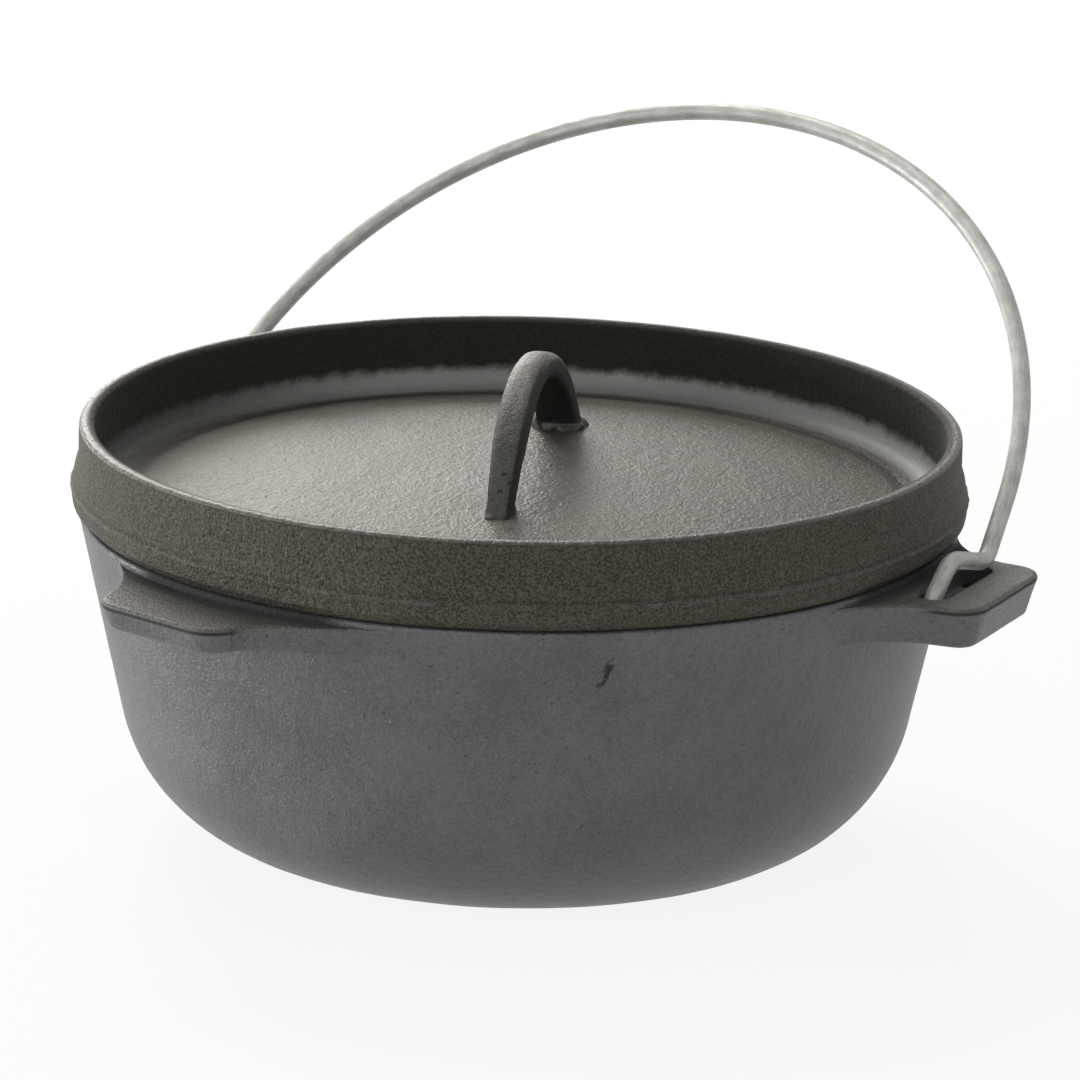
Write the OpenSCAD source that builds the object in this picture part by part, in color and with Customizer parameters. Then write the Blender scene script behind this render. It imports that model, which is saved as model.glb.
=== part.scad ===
/* [Pot] */
// Outside radius of the pot at its rim
pot_rim_r = 148; // [110:1:190]
// Height of the pot from its flat base to its rim
pot_h = 112.5; // [95:0.5:160]
// Lean of the pot wall from upright, narrowing downwards
pot_draft = 12.5; // [5:0.5:16]
// Thickness of the cast wall
pot_wall = 6; // [4:0.5:9]
// Thickness of the cast floor
pot_floor = 7; // [4:0.5:12]
// Outside radius of the round corner between wall and base
pot_corner_r = 57; // [30:1:70]
// Rounding along the two edges of the rim
pot_rim_edge = 1.2; // [0.4:0.1:2]

/* [Ears] */
// How far the top of the ears lies below the rim
ear_drop = 2.5; // [1:0.5:8]
// How far an ear stands out past the rim radius
ear_l = 32; // [27:1:45]
// Width of an ear where it leaves the pot
ear_root_w = 66; // [58:1:84]
// Width of an ear at its outer edge
ear_tip_w = 61; // [56:1:78]
// Thickness of an ear along its edges
ear_t = 14.5; // [13:0.5:18]
// Thickness of the plate round the slot, above the hollow underside
ear_plate_t = 7.5; // [6.5:0.5:9]
// Thickness of the skirt round that hollow
ear_skirt_t = 7; // [5.5:0.5:7.5]
// Rounding of an ear's outer corners
ear_corner_r = 11; // [6:0.5:14]
// Hollow rounding where an ear's flanks meet the pot
ear_flare_r = 15; // [8:0.5:20]
// Lean of an ear's sides for drawing it from the mould
ear_draft = 17; // [4:1:18]
// How far each ear is turned back from the line straight across the pot
ear_turn = 7.25; // [0:0.25:9]
// Length of the slot that takes the bail
slot_l = 45; // [44:0.5:48]
// Width of that slot
slot_w = 11.2; // [11:0.1:13]
// How far the slot's middle lies outside the rim radius
slot_out = 11; // [10:0.5:16]

/* [Tipping lug] */
// Direction of the lug, counted round from the line straight across the pot
lug_angle = 260.5; // [240:0.5:300]
// How far the lug stands out past the rim radius
lug_l = 27; // [18:1:36]
// Width of the lug where it leaves the pot
lug_root_w = 72; // [56:1:80]
// Width of the lug at its outer edge
lug_tip_w = 53; // [44:1:60]
// How far the lug's root is set to one side of its outer edge
lug_skew = -7; // [-8:0.5:8]
// Thickness of the lug
lug_t = 9; // [6:0.5:13]
// Rounding of the lug's outer corners
lug_corner_r = 13; // [6:0.5:16]

/* [Lid] */
// Height of the lid from its seat to the top of its rim
lid_h = 30; // [24:0.5:44]
// Thickness of the rim at its top
lid_rim_t = 5.2; // [4:0.1:8]
// Height of the mould line above the seat
lid_ridge_h = 8.5; // [6:0.5:11]
// How far the flange stands out past the rim at the mould line
lid_ridge_out = 2.4; // [1.5:0.1:3]
// Rounding of the flange from its foot to its top
lid_flange_r = 25; // [18:1:40]
// Step left along the mould line
lid_ridge_step = 0.3; // [0.1:0.1:0.6]
// How far the lower edge lies inside the pot's rim radius
lid_edge_in = 0.5; // [0:0.1:2]
// Height of the rim's straight upper band
lid_band_h = 10; // [4:0.5:14]
// Thickness of the domed plate
lid_plate_t = 6; // [4:0.5:9]
// Height of the tray floor, at its edge, above the seat
lid_floor_h = 6.5; // [5:0.5:9]
// Rise of the dome above the edge of the tray floor
lid_dome_rise = 10; // [4:0.5:14]
// Width of the flat ring between dome and rim fillet
lid_ring_w = 10; // [7:0.5:16]
// Rounding at the foot of the rim's inner wall
lid_fillet_r = 8; // [4:0.5:12]
// Depth of the groove round the dome
lid_groove_d = 1.3; // [0.5:0.1:2]
// Depth of the lip that keeps the lid centred in the pot
lid_lip_h = 6; // [3:0.5:10]
// Thickness of that lip
lid_lip_t = 6; // [4:0.5:9]
// Play between the lip and the pot's wall
lid_lip_play = 1.6; // [0.8:0.1:3]
// Air left between the lid's seat and the pot's rim
lid_seat_gap = 0.3; // [0.1:0.1:0.6]
// Turn of the lid on the pot away from square
lid_turn = 23; // [-30:1:30]

/* [Lid handle] */
// Distance between the middles of the two feet
handle_span = 115; // [100:1:130]
// Height of the loop over the dome's crown
handle_h = 36.5; // [32:0.5:46]
// Slope of the legs from level
handle_slope = 53; // [50:1:58]
// How far the loop lies to one side of the lid's middle
handle_off = 3.3; // [0:0.1:8]
// Width of the strap at its crown
handle_w = 11.5; // [9:0.5:16]
// Thickness of the strap
handle_t = 9.5; // [7:0.5:12]
// Width of the first foot
handle_foot_w = 8; // [7.5:0.5:14]
// Width of the second foot, where the metal was poured in
handle_gate_w = 15; // [9:0.5:18]
// Diameter of the roots that are cast into the plate
handle_root_d = 7; // [5:0.5:7]
// Depth of those roots in the plate
handle_root_l = 3.5; // [2:0.5:4]
// Seam left between handle and plate
handle_seam = 0.05; // [0.03:0.01:0.1]

/* [Bail] */
// Diameter of the wire
wire_d = 5.9; // [5:0.1:6.2]
// Lean of the bail from upright when it rests on its cranks
bail_lean = 47; // [44:0.5:55]
// Distance from the cranks' elbows to the crown, along the lean
bail_h = 157.5; // [154:0.5:190]
// How far the arch's sides stand inside the hooks
bail_inset = 1.6; // [1:0.2:3]
// Distance of the line on which the bail swings in front of the middles of the slots
swing_off = 2.5; // [1.5:0.5:2.5]
// Distance of the elbows behind that line
crank_l = 22.5; // [21.5:0.5:24]
// Height of the hump in each crank above the top of the ear
crank_h = 8.2; // [7.6:0.2:10]
// Distance of the wire in front of the swing line where it enters the slot
neck_l = 10.5; // [10:0.5:12]
// Swing of the bail, from rest over the top to its other stop
bail_swing = 128; // [120:1:130]
// Length of the hooked ends under the ears
tail_l = 9; // [8:0.5:10]
// Air left between the wire and an ear that stops it
wire_gap = 0.6; // [0.5:0.1:0.8]
// Bend radius of the wire along its middle
wire_bend = 8; // [6.5:0.5:9]

/* [Hidden] */
$fn = 128;

iron = "#55534f";
lid_iron = "#625e57";
handle_iron = "#6d6a64";
wire_steel = "#c9cbc8";

// Widths of the edges and the spare depth that lets one cut run through another
over = 1;
ear_edge = 1.2;
seat_edge = 1;
bend_steps = 6;
arch_steps = 44;

// Heights, from the flat base upwards
ear_top = pot_h - ear_drop;
swing_z = ear_top - ear_plate_t / 2;
seat_z = pot_h + lid_seat_gap;
crown_z = lid_floor_h + lid_dome_rise;

// Radii round the pot's axis
slot_r = pot_rim_r + slot_out;
rim_bore_r = pot_rim_r - pot_wall / cos(pot_draft);
lid_bore_r = pot_rim_r - lid_rim_t;
lip_r = rim_bore_r - lid_lip_play;
dome_edge_r = lid_bore_r - lid_fillet_r - lid_ring_w;
dome_r = (pow(dome_edge_r, 2) + pow(lid_dome_rise, 2)) / (2 * lid_dome_rise);
hook_x = slot_r * cos(ear_turn);
swing_y = slot_r * sin(ear_turn) - swing_off;
arch_r = hook_x - bail_inset;

function unit(v) = v / norm(v);

// Points round the corner p on the way from a to b, on an arc of radius r
function bend(a, p, b, r) =
    let (u = unit(p - a), w = unit(b - p), turn = acos(max(-1, min(1, u * w))))
    r == 0 || turn < 1 ? [p] :
    let (
        back = r * tan(turn / 2),
        mid = p + unit(w - u) * r / cos(turn / 2),
        from = p - u * back - mid,
        to = p + w * back - mid
    )
    [for (i = [0:bend_steps])
        mid + (from * sin(turn * (1 - i / bend_steps)) + to * sin(turn * i / bend_steps)) / sin(turn)];

// Open route through corners, each of them [point, radius]
function rounded(corners) = [
    corners[0][0],
    for (i = [1:len(corners) - 2])
        each bend(corners[i - 1][0], corners[i][0], corners[i + 1][0], corners[i][1]),
    corners[len(corners) - 1][0]
];

// Solid through rings of points, all with the same count
module skin(rings) {
    n = len(rings[0]);
    last = len(rings) - 1;
    sides = [
        for (k = [0:last - 1], i = [0:n - 1])
            let (a = k * n + i, b = k * n + (i + 1) % n)
            each [[a, a + n, b], [b, a + n, b + n]]
    ];
    ends = [[for (i = [0:n - 1]) i], [for (i = [n - 1:-1:0]) last * n + i]];
    polyhedron(points = [for (ring = rings) each ring], faces = concat(sides, ends), convexity = 8);
}

// Point half way into the cast wall, at a distance y from the middle of an ear or lug
function in_wall(y, z) =
    let (r = pot_rim_r - (pot_h - z) * tan(pot_draft) - pot_wall / 2)
    [sqrt(pow(r, 2) - pow(y, 2)), y, z];

// Outline of an ear or lug drawn in all round by an inset, at one height
function tab_ring(out, root_w, tip_w, corner, skew, inset, z) =
    let (
        tip = pot_rim_r + out - inset,
        deep = pot_rim_r - 6 * pot_wall,
        root_y = root_w / 2 - inset,
        tip_y = tip_w / 2 - inset,
        foot_y = root_w / 2 + ear_flare_r + pot_wall
    )
    rounded([
        [[deep, skew - foot_y, z], 0],
        [in_wall(skew - foot_y, z), 0],
        [in_wall(skew - root_y, z), ear_flare_r],
        [[tip, -tip_y, z], corner - inset],
        [[tip, tip_y, z], corner - inset],
        [in_wall(skew + root_y, z), ear_flare_r],
        [in_wall(skew + foot_y, z), 0],
        [[deep, skew + foot_y, z], 0]
    ]);

// Ear or lug: flat on top, its sides drawn in towards a rounded underside
module tab(out, root_w, tip_w, corner, skew, thick) {
    lean = thick * tan(ear_draft);
    base = ear_top - thick;
    levels = [
        [base - over, lean + 3 * ear_edge / 2 + 2 * over],
        [base + ear_edge / 2, lean + ear_edge / 2],
        [base + 2 * ear_edge, lean],
        [ear_top - ear_edge, 0],
        [ear_top + over, ear_edge / 2]
    ];
    intersection() {
        skin([for (level = levels) tab_ring(out, root_w, tip_w, corner, skew, level[1], level[0])]);
        translate([0, -pot_rim_r, base]) cube([2 * pot_rim_r, 2 * pot_rim_r, thick]);
    }
}

// Hollow under an ear, in which the hooked end of the bail turns
module underside() {
    half = ear_tip_w / 2 - ear_skirt_t;
    corner = ear_corner_r / 2;
    inner = pot_rim_r - 6 * pot_wall - over;
    outer = pot_rim_r + ear_l - ear_skirt_t - 2;
    translate([0, 0, ear_top - ear_t - over])
        linear_extrude(ear_t - ear_plate_t + over) {
            translate([inner, -half]) square([outer - corner - inner, 2 * half]);
            translate([inner, corner - half]) square([outer - inner, 2 * (half - corner)]);
            for (side = [-1, 1])
                translate([outer - corner, side * (half - corner)]) circle(corner);
        }
}

module slot() {
    half = (slot_l - slot_w) / 2;
    translate([slot_r, 0, -over])
        linear_extrude(ear_t + 2 * over) {
            square([slot_w, 2 * half], center = true);
            for (side = [-1, 1])
                translate([0, side * half]) circle(d = slot_w);
        }
}

// Half section of a round-cornered cup, from its axis out to a leaning wall
module cup(rim_r, rim_z, floor_z, corner) {
    wall_r = rim_r - tan(pot_draft) * (rim_z - floor_z - corner);
    mid = [wall_r - corner / cos(pot_draft), floor_z + corner];
    polygon([
        [0, floor_z],
        [mid[0], floor_z],
        mid + corner * [cos(pot_draft), -sin(pot_draft)],
        [rim_r, rim_z],
        [0, rim_z]
    ]);
    intersection() {
        translate(mid) circle(corner);
        translate([0, floor_z]) square([rim_r, corner]);
    }
}

// Flat-topped ring section with both its upper edges rounded
module rim_round(inner_r, outer_r, top_z, edge) {
    for (r = [inner_r + edge, outer_r - edge])
        translate([r, top_z - edge]) circle(edge);
    translate([inner_r + edge, top_z - edge]) square([outer_r - inner_r - 2 * edge, edge]);
}

module pot() color(iron) {
    body_top = pot_h - pot_rim_edge;
    fall = pot_rim_edge * tan(pot_draft);
    difference() {
        union() {
            rotate_extrude() {
                cup(pot_rim_r - fall, body_top, 0, pot_corner_r);
                rim_round(rim_bore_r - fall, pot_rim_r - fall, pot_h, pot_rim_edge);
            }
            for (turn = [ear_turn, 180 - ear_turn])
                rotate(turn) difference() {
                    tab(ear_l, ear_root_w, ear_tip_w, ear_corner_r, 0, ear_t);
                    underside();
                }
            rotate(lug_angle) tab(lug_l, lug_root_w, lug_tip_w, lug_corner_r, lug_skew, lug_t);
        }
        rotate_extrude() {
            cup(rim_bore_r - fall, body_top, pot_floor, pot_corner_r - pot_wall);
            translate([0, body_top - over]) square([rim_bore_r - fall, pot_rim_edge + 2 * over]);
        }
        for (turn = [ear_turn, 180 - ear_turn])
            rotate(turn) translate([0, 0, ear_top - ear_t]) slot();
    }
}

// Section of the dome as a round slice, grown or shrunk by a distance
module dome_slice(grow) {
    intersection() {
        translate([0, crown_z - dome_r]) circle(dome_r + grow, $fn = 512);
        translate([0, -lid_h]) square([pot_rim_r, 2 * lid_h]);
    }
}

// Rounded flange below the rim, stepped along its mould line
module flange(band_z) {
    foot_r = pot_rim_r - lid_edge_in - seat_edge;
    mid = [pot_rim_r + lid_ridge_out - lid_flange_r, lid_ridge_h];
    intersection() {
        translate(mid) circle(lid_flange_r);
        polygon([
            [lid_bore_r - over, 0],
            [foot_r, 0],
            [foot_r + lid_ridge_h, lid_ridge_h],
            [lid_bore_r - over, lid_ridge_h]
        ]);
    }
    intersection() {
        translate(mid) circle(lid_flange_r - lid_ridge_step);
        translate([lid_bore_r - over, lid_ridge_h - over])
            square([lid_rim_t + lid_h, band_z - lid_ridge_h + over]);
    }
}

// Hollow above the plate: the tray that holds the coals
module tray() {
    foot = [lid_bore_r - lid_fillet_r, lid_floor_h];
    difference() {
        translate([0, lid_floor_h]) square([lid_bore_r, lid_h]);
        dome_slice(0);
        difference() {
            translate(foot - [0, over]) square([lid_fillet_r, lid_fillet_r + over]);
            translate(foot + [0, lid_fillet_r]) circle(lid_fillet_r);
        }
    }
    translate([dome_edge_r + lid_ring_w / 2, lid_floor_h + lid_groove_d]) circle(2 * lid_groove_d);
}

module lid_section() {
    band_z = lid_h - lid_band_h;
    rim_edge = lid_rim_t / 2.6;
    difference() {
        union() {
            polygon([
                [0, -lid_lip_h],
                [lip_r - seat_edge, -lid_lip_h],
                [lip_r, 0],
                [lid_bore_r, 0],
                [pot_rim_r, lid_ridge_h],
                [pot_rim_r, lid_h - rim_edge],
                [0, lid_h - rim_edge]
            ]);
            flange(band_z);
            rim_round(lid_bore_r, pot_rim_r, lid_h, rim_edge);
        }
        tray();
        intersection() {
            dome_slice(-lid_plate_t);
            translate([0, -lid_lip_h - over]) square([lip_r - lid_lip_t, 2 * lid_h]);
        }
    }
}

// Places the feet of the handle on the dome
module at_feet() {
    for (side = [-1, 1])
        translate([side * handle_span / 2, -handle_off, 0]) children();
}

module lid() color(lid_iron)
    translate([0, 0, seat_z]) difference() {
        rotate_extrude() lid_section();
        rotate(90 + lid_turn) at_feet()
            translate([0, 0, foot_z - handle_root_l - handle_seam])
                cylinder(d = handle_root_d + 2 * handle_seam, h = handle_root_l + lid_h);
    }

// Height of the dome under the feet, and the loop's route along its middle
foot_z = crown_z - dome_r + sqrt(pow(dome_r, 2) - pow(handle_span / 2, 2));
loop_z = crown_z + handle_h - handle_t / 2;
loop_r = (tan(handle_slope) * handle_span / 2 - loop_z + foot_z) / (1 / cos(handle_slope) - 1);

module lid_handle() color(handle_iron)
    translate([0, 0, seat_z]) rotate(90 + lid_turn) {
        foot = [handle_span / 2, 0, foot_z];
        sink = 2 * [cos(handle_slope), 0, -sin(handle_slope)] * handle_t / 2;
        route = concat(
            [foot * -1 + [0, 0, 2 * foot_z] + [-sink[0], 0, sink[2]]],
            [for (a = [90 + handle_slope:-4:90 - handle_slope])
                [loop_r * cos(a), 0, loop_z - loop_r + loop_r * sin(a)]],
            [foot + sink]
        );
        difference() {
            translate([0, -handle_off, 0])
                skin([for (i = [0:len(route) - 1]) strap_ring(route, i)]);
            rotate_extrude() dome_slice(handle_seam);
        }
        at_feet()
            translate([0, 0, foot_z - handle_root_l])
                cylinder(d = handle_root_d, h = handle_root_l + handle_seam + 1);
    }

// Cross-section of the strap at one point of its route
function strap_ring(route, i) =
    let (
        last = len(route) - 1,
        along = unit(route[min(i + 1, last)] - route[max(i - 1, 0)]),
        across = [0, 1, 0],
        up = cross(along, across),
        reach = route[i][0] / (handle_span / 2),
        foot_w = reach < 0 ? handle_foot_w : handle_gate_w,
        w = handle_w + (foot_w - handle_w) * pow(abs(reach), 4)
    )
    [for (a = [0:18:342])
        route[i]
        + across * w / 2 * sign(cos(a)) * pow(abs(cos(a)), 0.75)
        + up * handle_t / 2 * sign(sin(a)) * pow(abs(sin(a)), 0.75)];

// Rings of a round wire along a route
function wire_rings(route, r) =
    let (
        last = len(route) - 1,
        ways = [for (i = [0:last]) unit(route[min(i + 1, last)] - route[max(i - 1, 0)])],
        first = unit(cross(ways[0], [0, 1, 0])),
        ups = [for (i = 0, up = first; i <= last;
            i = i + 1,
            up = i > last ? up : unit(up - ways[i] * (up * ways[i]))) up]
    )
    [for (i = [0:last])
        [for (a = [0:30:330])
            route[i] + r * (cos(a) * ups[i] + sin(a) * cross(ways[i], ups[i]))]];

// Point of the arch, x along the swing line and h up along the lean
function leaning(x, h) = elbow + [x - hook_x, h * sin(bail_lean), h * cos(bail_lean)];

// Corners of one hook and crank, from the hooked end to the elbow
stop_z = ear_plate_t / 2 + wire_d / 2 + wire_gap;
tail_y = -stop_z * tan(bail_swing / 2);
elbow_dip = 0.14 * wire_bend;
hook_bend = 0.78 * wire_d;
elbow = [hook_x, crank_l, stop_z - elbow_dip];
arch_z = bail_h - arch_r;
arch_a = atan2(-arch_z, hook_x) + acos(arch_r / norm([hook_x, arch_z]));
hook_corners = [
    [[hook_x - tail_l, tail_y, -stop_z], 0],
    [[hook_x, tail_y, -stop_z], hook_bend],
    [[hook_x, -neck_l, ear_plate_t / 2 - wire_d / 4], hook_bend],
    [[hook_x, 0, ear_plate_t / 2 + crank_h], wire_bend],
    [elbow, wire_bend],
    [leaning(arch_r * cos(arch_a), arch_z + arch_r * sin(arch_a)), 0]
];
function mirrored(route) = [for (i = [len(route) - 1:-1:0]) [-route[i][0], route[i][1], route[i][2]]];

module bail() color(wire_steel)
    translate([0, swing_y, swing_z]) {
        hook = rounded(hook_corners);
        arch = [for (i = [1:arch_steps - 1])
            let (a = arch_a + (180 - 2 * arch_a) * i / arch_steps)
            leaning(arch_r * cos(a), arch_z + arch_r * sin(a))];
        skin(wire_rings(concat(hook, arch, mirrored(hook)), wire_d / 2));
    }

pot();
lid();
lid_handle();
bail();
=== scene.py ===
"""Dressed camp oven: a cast pot, its flanged lid with a loop, and a swinging wire bail.

Sizes in the classes are millimetres and degrees. Meshes are written in metres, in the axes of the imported
frame: Z up from the base, X along the line on which the bail swings.
"""
import logging
import math
from dataclasses import dataclass, field
from enum import Enum
from typing import ClassVar, Optional, Sequence, Union

import bmesh
import bpy
import numpy as np
from mathutils import Matrix, Vector, noise


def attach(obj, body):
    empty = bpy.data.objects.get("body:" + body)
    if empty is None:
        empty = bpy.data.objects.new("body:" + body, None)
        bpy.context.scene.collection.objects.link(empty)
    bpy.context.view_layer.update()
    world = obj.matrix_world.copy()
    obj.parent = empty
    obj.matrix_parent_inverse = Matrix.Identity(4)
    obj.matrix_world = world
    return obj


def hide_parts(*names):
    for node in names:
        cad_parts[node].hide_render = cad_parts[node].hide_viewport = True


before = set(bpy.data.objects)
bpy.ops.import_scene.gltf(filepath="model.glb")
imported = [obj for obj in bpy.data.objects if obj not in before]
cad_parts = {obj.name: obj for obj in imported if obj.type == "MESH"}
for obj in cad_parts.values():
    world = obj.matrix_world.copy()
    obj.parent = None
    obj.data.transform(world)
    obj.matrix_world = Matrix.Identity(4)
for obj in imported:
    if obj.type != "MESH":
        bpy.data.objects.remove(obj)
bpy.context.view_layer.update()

LOG = logging.getLogger("camp_oven")
MM = 0.001
WHITE = (1.0, 1.0, 1.0)

# Edges that turn by more degrees than this stay sharp
SHARP = 38.0

# Turns of a route that are smaller than this, in radians, get no arc
STRAIGHT = 0.02

Colour = tuple[float, float, float]
Place = tuple[float, float, float]
Points = np.ndarray

# The values at which a mask is 0 and at which it is 1
Span = tuple[float, float]


class Body(Enum):
    """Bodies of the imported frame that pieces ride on."""

    POT = "pot"
    LID = "lid"
    BAIL = "bail"


class Slot(Enum):
    """Names of the material slots."""

    POT = "pot_iron"
    LID = "lid_iron"
    HANDLE = "handle_iron"
    WIRE = "bail_wire"


class Loop(Enum):
    """Outlines that an ear is lofted through."""

    OUTER = "outer"
    SLOT = "slot"
    HOLLOW = "hollow"


class Mark(Enum):
    """Mesh attributes that finishes read."""

    STRAP = "strap"
    WIRE = "wire_run"


# Lines and surfaces


@dataclass(frozen=True)
class Corner:
    """A corner of a route.

    Attributes:
        at: its place.
        radius: the radius that rounds it, 0 for none.
        steps: stretches of the arc.
    """

    at: tuple[float, ...]
    radius: float = 0.0
    steps: int = 8


@dataclass(frozen=True)
class Wave:
    """Smooth noise that makes a casting's skin uneven.

    Attributes:
        high: height of its bumps.
        size: about the width of one bump.
        seed: shift that picks another stretch of the same noise.
    """

    high: float
    size: float
    seed: float

    def over(self, points: Points) -> Points:
        """Returns the wave's height at each point."""
        shift = Vector((self.seed * 17.3, self.seed * -9.1, self.seed * 4.7))
        return self.high * np.array([noise.noise(Vector(p) / self.size + shift) for p in points])


def heading(degrees: float) -> tuple[float, float]:
    """Returns the cosine and sine of an angle."""
    return math.cos(math.radians(degrees)), math.sin(math.radians(degrees))


def circle(count: int) -> tuple[Points, Points]:
    """Returns cosines and sines at even steps round a circle."""
    angles = np.linspace(0.0, 2 * math.pi, count, endpoint=False)
    return np.cos(angles), np.sin(angles)


def unit(way: Points) -> Points:
    """Returns the direction at length one."""
    return way / np.linalg.norm(way)


def tangents(line: Points) -> Points:
    """Returns a line's direction at each of its points."""
    ways = np.gradient(line, axis=0)
    return ways / np.linalg.norm(ways, axis=1)[:, None]


def rounded(corners: Sequence[Corner]) -> Points:
    """Draws an open route through corners, each rounded by its own arc.

    Args:
        corners: the corners in order; the first and last are the route's ends.

    Returns:
        The route's points, one row each.
    """
    line = [np.array(corners[0].at, float)]
    for before, here, after in zip(corners, corners[1:], corners[2:]):
        point = np.array(here.at, float)
        come, go = unit(point - before.at), unit(np.array(after.at, float) - point)
        turn = math.acos(float(np.clip(come @ go, -1.0, 1.0)))
        if here.radius <= 0.0 or turn < STRAIGHT:
            line.append(point)
            continue
        back = here.radius * math.tan(turn / 2)
        middle = point + unit(go - come) * here.radius / math.cos(turn / 2)
        start, end = point - come * back - middle, point + go * back - middle
        for t in np.linspace(0.0, 1.0, here.steps + 1):
            swept = start * math.sin(turn * (1 - t)) + end * math.sin(turn * t)
            line.append(middle + swept / math.sin(turn))
    line.append(np.array(corners[-1].at, float))
    return np.array(line)


def resampled(line: Points, count: int) -> Points:
    """Returns points at even steps along an open line.

    Args:
        line: the line's points.
        count: how many points to return, both ends among them.

    Returns:
        The new points.
    """
    run = np.concatenate([[0.0], np.cumsum(np.linalg.norm(np.diff(line, axis=0), axis=1))])
    at = np.linspace(0.0, run[-1], count)
    return np.stack([np.interp(at, run, line[:, i]) for i in range(line.shape[1])], axis=1)


def densified(line: Points, step: float) -> Points:
    """Splits each stretch of a line that is longer than a step.

    Args:
        line: the line's points, all of which are kept.
        step: the longest stretch allowed.

    Returns:
        The finer line.
    """
    parts = [line[:1]]
    for a, b in zip(line, line[1:]):
        count = max(1, math.ceil(float(np.linalg.norm(b - a)) / step))
        shares = np.arange(1, count + 1)[:, None] / count
        parts.append(a + (b - a) * shares)
    return np.concatenate(parts)


def turned(points: Points, degrees: float) -> Points:
    """Returns points turned about Z."""
    c, s = heading(degrees)
    return points @ np.array([[c, s, 0.0], [-s, c, 0.0], [0.0, 0.0, 1.0]])


class Skin:
    """Rings of points, skinned with quads into one closed mesh."""

    def __init__(self) -> None:
        """Starts with no points."""
        self.points: list[Points] = []
        self.faces: list[tuple[int, ...]] = []
        self.count = 0

    def add(self, points: Points) -> np.ndarray:
        """Adds points and returns their numbers.

        Args:
            points: rows of three coordinates.

        Returns:
            One number a point.
        """
        numbers = np.arange(self.count, self.count + len(points))
        self.points.append(np.asarray(points, float))
        self.count += len(points)
        return numbers

    def rings(self, rings: Points, closed: bool = False) -> np.ndarray:
        """Skins rings that have the same count of points.

        Args:
            rings: array of rings by points by coordinates.
            closed: whether the last ring meets the first.

        Returns:
            The points' numbers, one row for each ring.
        """
        rows, around, _ = rings.shape
        grid = self.add(rings.reshape(-1, 3)).reshape(rows, around)
        for i in range(rows if closed else rows - 1):
            a, b = grid[i], grid[(i + 1) % rows]
            a2, b2 = np.roll(a, -1), np.roll(b, -1)
            self.faces.extend(zip(a.tolist(), a2.tolist(), b2.tolist(), b.tolist()))
        return grid

    def close(self, ring: np.ndarray, tip: Sequence[float]) -> None:
        """Closes a ring with triangles that meet at one point."""
        top = int(self.add(np.array([tip], float))[0])
        self.faces.extend((int(a), int(b), top) for a, b in zip(ring, np.roll(ring, -1)))

    def piece(self, name: str, sharp: float = SHARP) -> bpy.types.Object:
        """Makes the object, smooth but for edges sharper than an angle.

        Args:
            name: the piece's name.
            sharp: the angle in degrees.

        Returns:
            The new object, linked to the scene.
        """
        mesh = bpy.data.meshes.new(name)
        mesh.from_pydata((np.concatenate(self.points) * MM).tolist(), [], self.faces)
        work = bmesh.new()
        work.from_mesh(mesh)
        bmesh.ops.recalc_face_normals(work, faces=work.faces)
        work.to_mesh(mesh)
        work.free()
        smooth(mesh, sharp)
        made = bpy.data.objects.new(name, mesh)
        bpy.context.scene.collection.objects.link(made)
        return made


def smooth(mesh: bpy.types.Mesh, sharp: float) -> None:
    """Shades a mesh smooth, but for edges sharper than an angle.

    Args:
        mesh: the mesh.
        sharp: the angle in degrees.
    """
    mesh.polygons.foreach_set("use_smooth", [True] * len(mesh.polygons))
    mesh.set_sharp_from_angle(angle=math.radians(sharp))
    mesh.update()


def revolve(name: str, profile: Points, segments: int, sharp: float = SHARP) -> bpy.types.Object:
    """Turns a profile, which starts and ends on the axis, into a closed piece.

    Args:
        name: the piece's name.
        profile: rows of radius and height.
        segments: how many points go round.
        sharp: the angle in degrees above which an edge stays sharp.

    Returns:
        The new object.
    """
    c, s = circle(segments)
    radii, heights = profile[1:-1, :1], profile[1:-1, 1:]
    skin = Skin()
    grid = skin.rings(np.stack([radii * c, radii * s, np.repeat(heights, segments, axis=1)], axis=2))
    for end in (0, -1):
        skin.close(grid[end], (0.0, 0.0, profile[end, 1]))
    return skin.piece(name, sharp)


def sweep(name: str, rings: Points, mark: Mark, marks: Points) -> bpy.types.Object:
    """Skins rings into a bar with closed ends, which keeps a mark at each vertex.

    Args:
        name: the piece's name.
        rings: array of rings by points by coordinates.
        mark: the attribute that keeps the marks.
        marks: one vector for each point of the rings.

    Returns:
        The new object.
    """
    skin = Skin()
    grid = skin.rings(rings)
    for end in (0, -1):
        skin.close(grid[end], rings[end].mean(0))
    made = skin.piece(name)
    tips = np.stack([marks[0].mean(0), marks[-1].mean(0)])
    kept = made.data.attributes.new(mark.value, "FLOAT_VECTOR", "POINT")
    kept.data.foreach_set("vector", np.concatenate([marks.reshape(-1, 3), tips]).ravel())
    return made


def push(piece: bpy.types.Object, amounts: Points) -> None:
    """Moves each vertex of a piece along its normal.

    Args:
        piece: the piece.
        amounts: millimetres, one number a vertex.
    """
    mesh = piece.data
    at, way = np.empty(len(mesh.vertices) * 3), np.empty(len(mesh.vertices) * 3)
    mesh.vertices.foreach_get("co", at)
    mesh.vertex_normals.foreach_get("vector", way)
    moved = at.reshape(-1, 3) + way.reshape(-1, 3) * amounts[:, None] * MM
    mesh.vertices.foreach_set("co", moved.ravel())
    mesh.update()


def points_of(piece: bpy.types.Object) -> Points:
    """Reads a piece's vertices.

    Args:
        piece: the piece.

    Returns:
        Their places in millimetres, one row each.
    """
    at = np.empty(len(piece.data.vertices) * 3)
    piece.data.vertices.foreach_get("co", at)
    return at.reshape(-1, 3) / MM


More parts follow.
